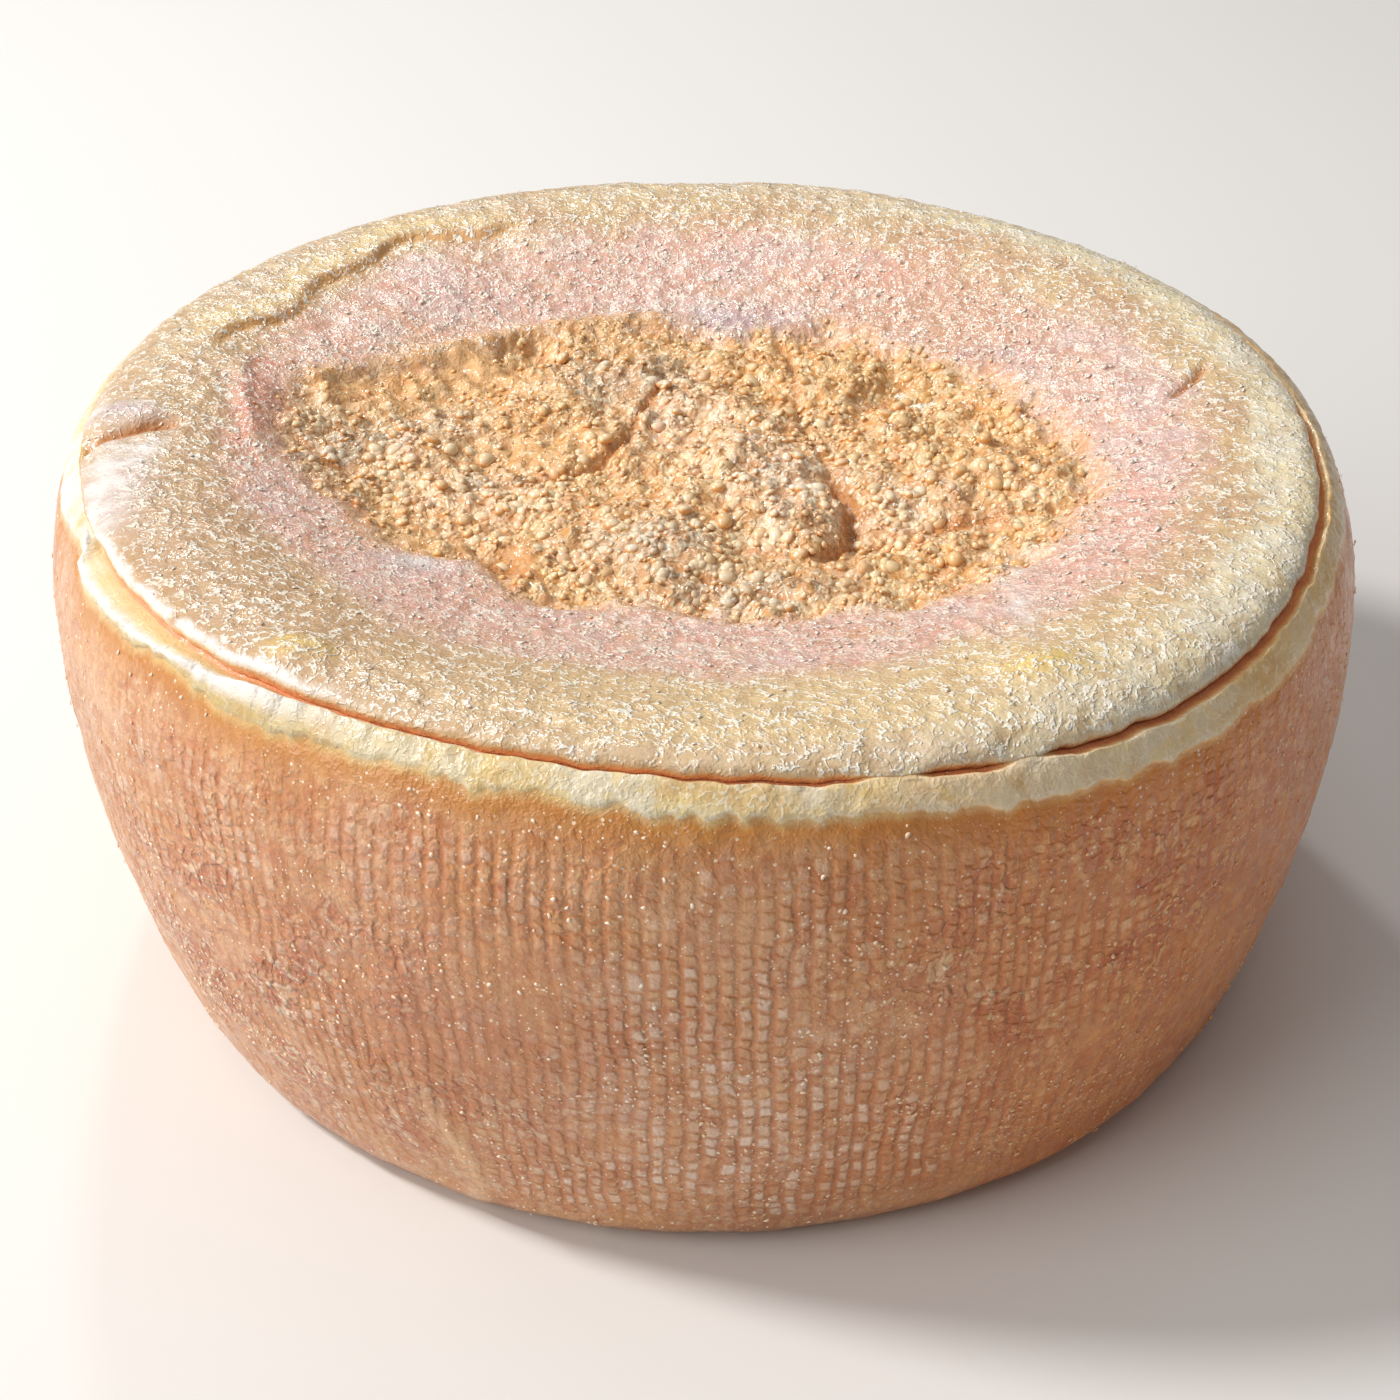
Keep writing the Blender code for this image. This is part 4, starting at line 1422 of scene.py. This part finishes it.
def frames_on(normals, turns):
    """Three directions for each ball: two along the skin, turned by an angle, and one off it."""
    helper = np.where(np.abs(normals[:, 2:]) < 0.9, [[0.0, 0.0, 1.0]], [[1.0, 0.0, 0.0]])
    first = np.cross(helper, normals)
    first /= np.linalg.norm(first, axis=1)[:, None]
    second = np.cross(normals, first)
    cosine, sine = np.cos(turns)[:, None], np.sin(turns)[:, None]
    return first * cosine + second * sine, second * cosine - first * sine, normals


def scatter(name, seed, skin, points, weights, count, subdivisions, sizes, stretch, flat, sunk,
            dented=0.0, kept_masks=None, size_share=1.0):
    """Balls on a skin, merged in one mesh with a tone from 0 to 1 for each ball."""
    draw = np.random.default_rng(seed)
    chosen = pick(draw, weights, count)
    normals = skin_normals(skin)[chosen]
    radius = mix(sizes[0], sizes[1], draw.random(count) ** 2.0)
    longer = 1.0 + stretch * draw.random(count)
    along, across, off = frames_on(normals, draw.random(count) * math.tau)
    ball, ball_faces = unit_ball(subdivisions)
    waves = draw.normal(0.0, 1.5, (count, 3, 3))
    dents = 1.0 + dented * np.cos(waves @ ball.T + draw.random((count, 3, 1)) * math.tau).sum(1)
    spots = points[chosen] + draw.normal(0.0, 0.15, (count, 3)) * MM - normals * (radius * sunk)[:, None]
    radius = radius * (size_share * np.ones(len(points)))[chosen]
    scaled = ball[None] * (radius[:, None] * dents)[:, :, None]
    bent = (longer - 1.0)[:, None] * ball[None, :, 0] ** 2 * radius[:, None]
    placed = (spots[:, None] + scaled[:, :, :1] * (along * longer[:, None])[:, None]
              + (scaled[:, :, 1:2] + bent[:, :, None]) * across[:, None]
              + scaled[:, :, 2:] * (off * flat)[:, None])
    faces = (ball_faces[None] + (np.arange(count) * len(ball))[:, None, None]).reshape(-1, 3)
    kept_masks = kept_masks or {}
    masks = {title: np.repeat(values[chosen], len(ball)) for title, values in kept_masks.items()}
    masks["tone"] = np.repeat(draw.random(count), len(ball))
    # How high each point sits on its ball; the grains' painted foot shade reads it
    masks["lifted"] = np.tile(0.5 + 0.5 * ball[:, 2], count)
    print(name + ":", count, "balls")
    return make_mesh(name, placed.reshape(-1, 3), faces.tolist(), masks)


# %% [markdown]
# The crater's grains crowd where the crust is coarse, at the right and in the middle, with smaller
# crumbs between them.  The beads lie on rim and blush, long and thin like curled threads, and
# pale, so that they partly stand for painted glints.  The crystals are finest.

# %% Scatter on the top
SHARE_OF_GRAINS = 1.0
NEVER = 1e-9
top_x, top_y = top_points[:, 0], top_points[:, 1]
top_share = np.hypot(top_x, top_y) / WHEEL_RADIUS
on_grid = np.arange(len(top_points)) < (TOP_GRID + 1) ** 2
crust, blush = top_masks["crust"], top_masks["blush"]
smooth_spots = (1.0 - 0.9 * top_masks["furrow"]) * (1.0 - 0.85 * top_masks["shelf"])
crust_masks = {title: top_masks[title] for title in ("grey", "pale", "crust")}

coarse = 0.35 + spot(top_x, top_y, 0.42, 0.0, 0.35, 0.35)
coarse += 0.8 * spot(top_x, top_y, -0.02, -0.2, 0.38, 0.38)
coarse += 0.7 * spot(top_x, top_y, -0.45, -0.05, 0.20, 0.20)
crowd = smooth(0.45 + 1.1 * cloud(top_points, 5.0 * MM, octaves=3, seed=50.0))
grain_weights = crust ** 3 * coarse * mix(0.06, 1.0, crowd) * smooth_spots * on_grid + NEVER
crater_grains = scatter(
    "crater_grains", 5, rind_top, top_points, grain_weights, int(2000 * SHARE_OF_GRAINS), subdivisions=2,
    sizes=(0.42 * MM, 0.92 * MM), stretch=0.35, flat=0.72, sunk=0.50, dented=0.08,
    kept_masks=crust_masks, size_share=mix(0.35, 1.0, crust))
crumb_weights = crust * mix(0.4, 1.0, crowd) * smooth_spots * on_grid + NEVER
crater_crumbs = scatter(
    "crater_crumbs", 15, rind_top, top_points, crumb_weights, int(3400 * SHARE_OF_GRAINS), subdivisions=1,
    sizes=(0.24 * MM, 0.50 * MM), stretch=0.4, flat=0.70, sunk=0.36, dented=0.08,
    kept_masks=crust_masks, size_share=mix(0.5, 1.0, crust))

bead_weights = (1.0 - 0.85 * top_masks["crater"]) * (top_share < 0.93) * (1.0 - top_masks["chalk"])
bead_weights = bead_weights * (1.0 + blush) * on_grid + NEVER
top_beads_and_glints = scatter(
    "top_beads_and_glints", 6, rind_top, top_points, bead_weights, int(6400 * SHARE_OF_GRAINS), subdivisions=1,
    sizes=(0.07 * MM, 0.20 * MM), stretch=1.6, flat=0.26, sunk=0.16,
    size_share=mix(1.0, 1.35, blush * (1.0 - crust)))

# %% Scatter on the side
side_angle = np.degrees(np.arctan2(side_points[:, 1], side_points[:, 0]))
side_share = side_points[:, 2] / WHEEL_HEIGHT
below_band = side_masks["below_band"]
patchy = cloud(side_points, 12.0 * MM, octaves=3, seed=40.0)
crystal_weights = np.clip(0.20 + 1.7 * patchy, 0.02, 2.0) * (side_share > 0.03)
crystal_weights *= mix(0.3, 1.0, smooth((0.86 - side_share) / 0.16))
crystal_weights *= 1.0 + 1.4 * near_angle(side_angle, -62.0, 32.0) * smooth((0.85 - side_share) / 0.2)
crystal_weights *= (below_band > 0.6 * MM) * (below_band < 59.0 * MM) + NEVER
side_crystals_and_glints = scatter(
    "side_crystals_and_glints", 7, rind_side, side_points, crystal_weights, int(8400 * SHARE_OF_GRAINS), subdivisions=1,
    sizes=(0.06 * MM, 0.23 * MM), stretch=0.9, flat=0.50, sunk=0.10,
    kept_masks={"warm_shade": side_masks["warm_shade"]})


# %% Materials of the small pieces
def ball_material(name, dark, light, roughness, coat, *layers, mode="MIX", light_inside=0.0):
    """A glossy little ball between two tones, with more tints laid over them."""
    material, net, sockets = rind_shader(name, coat, light_inside, light_reach=0.0006)
    skin = net.paint(net.blend("tone", dark, light), *layers, mode=mode)
    wet = net.scale_to(net.mottle(WET_SPOTS, 2.0, 0.7), 0.40, 0.62, roughness + 0.15, roughness)
    net.put(sockets["Base Color"], skin)
    net.put(sockets["Roughness"], wet)
    return material


def crust_material(name):
    """The crater's grains: ochre, paler or greyer in patches, with painted shade in dark orange at the foot.
    """
    return ball_material(
        name, (0.82, 0.50, 0.20), (0.96, 0.79, 0.50), 0.18, 0.8,
        ((0.82, 0.46, 0.17), (130.0, 0.46, 0.08, 6.4), 0.6),
        ((0.84, 0.42, 0.25), (300.0, 0.40, 0.07, 1.3), 0.6),
        ((0.95, 0.86, 0.74), "pale", 0.60),
        ((0.76, 0.68, 0.56), "grey", 0.80),
        ((0.86, 0.62, 0.48), ("crust", 0.9, 0.2)),
        # Painted shade: dark orange towards the foot of each grain
        ((0.76, 0.38, 0.12), ("lifted", 0.90, 0.50)),
        light_inside=0.08,
    )


crater_grains.data.materials.append(crust_material("crater_grains"))
crater_crumbs.data.materials.append(crust_material("crater_crumbs"))
# Pale beads, partly painted glints
top_beads_and_glints.data.materials.append(ball_material(
    "top_beads_and_glints", (0.98, 0.86, 0.74), (1.0, 0.96, 0.90), 0.12, 0.9))
# Salt crystals, partly painted glints, are cream, and warmer where the side has its painted warm shade
side_crystals_and_glints.data.materials.append(ball_material(
    "side_crystals_and_glints", (0.96, 0.68, 0.46), (1.0, 0.88, 0.72), 0.25, 0.2,
    ((1.05, 0.80, 0.52), "warm_shade"), mode="MULTIPLY"))
print("materials:", [material.name for material in bpy.data.materials])

# %% [markdown]
# ## Hand over
#
# All six pieces ride on the wheel's body and stand in for its plain solid.

# %% Hand the pieces over
for piece in (rind_top, rind_side, crater_grains, crater_crumbs, top_beads_and_glints, side_crystals_and_glints):
    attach(piece, "root")
    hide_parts("cheese_wheel")
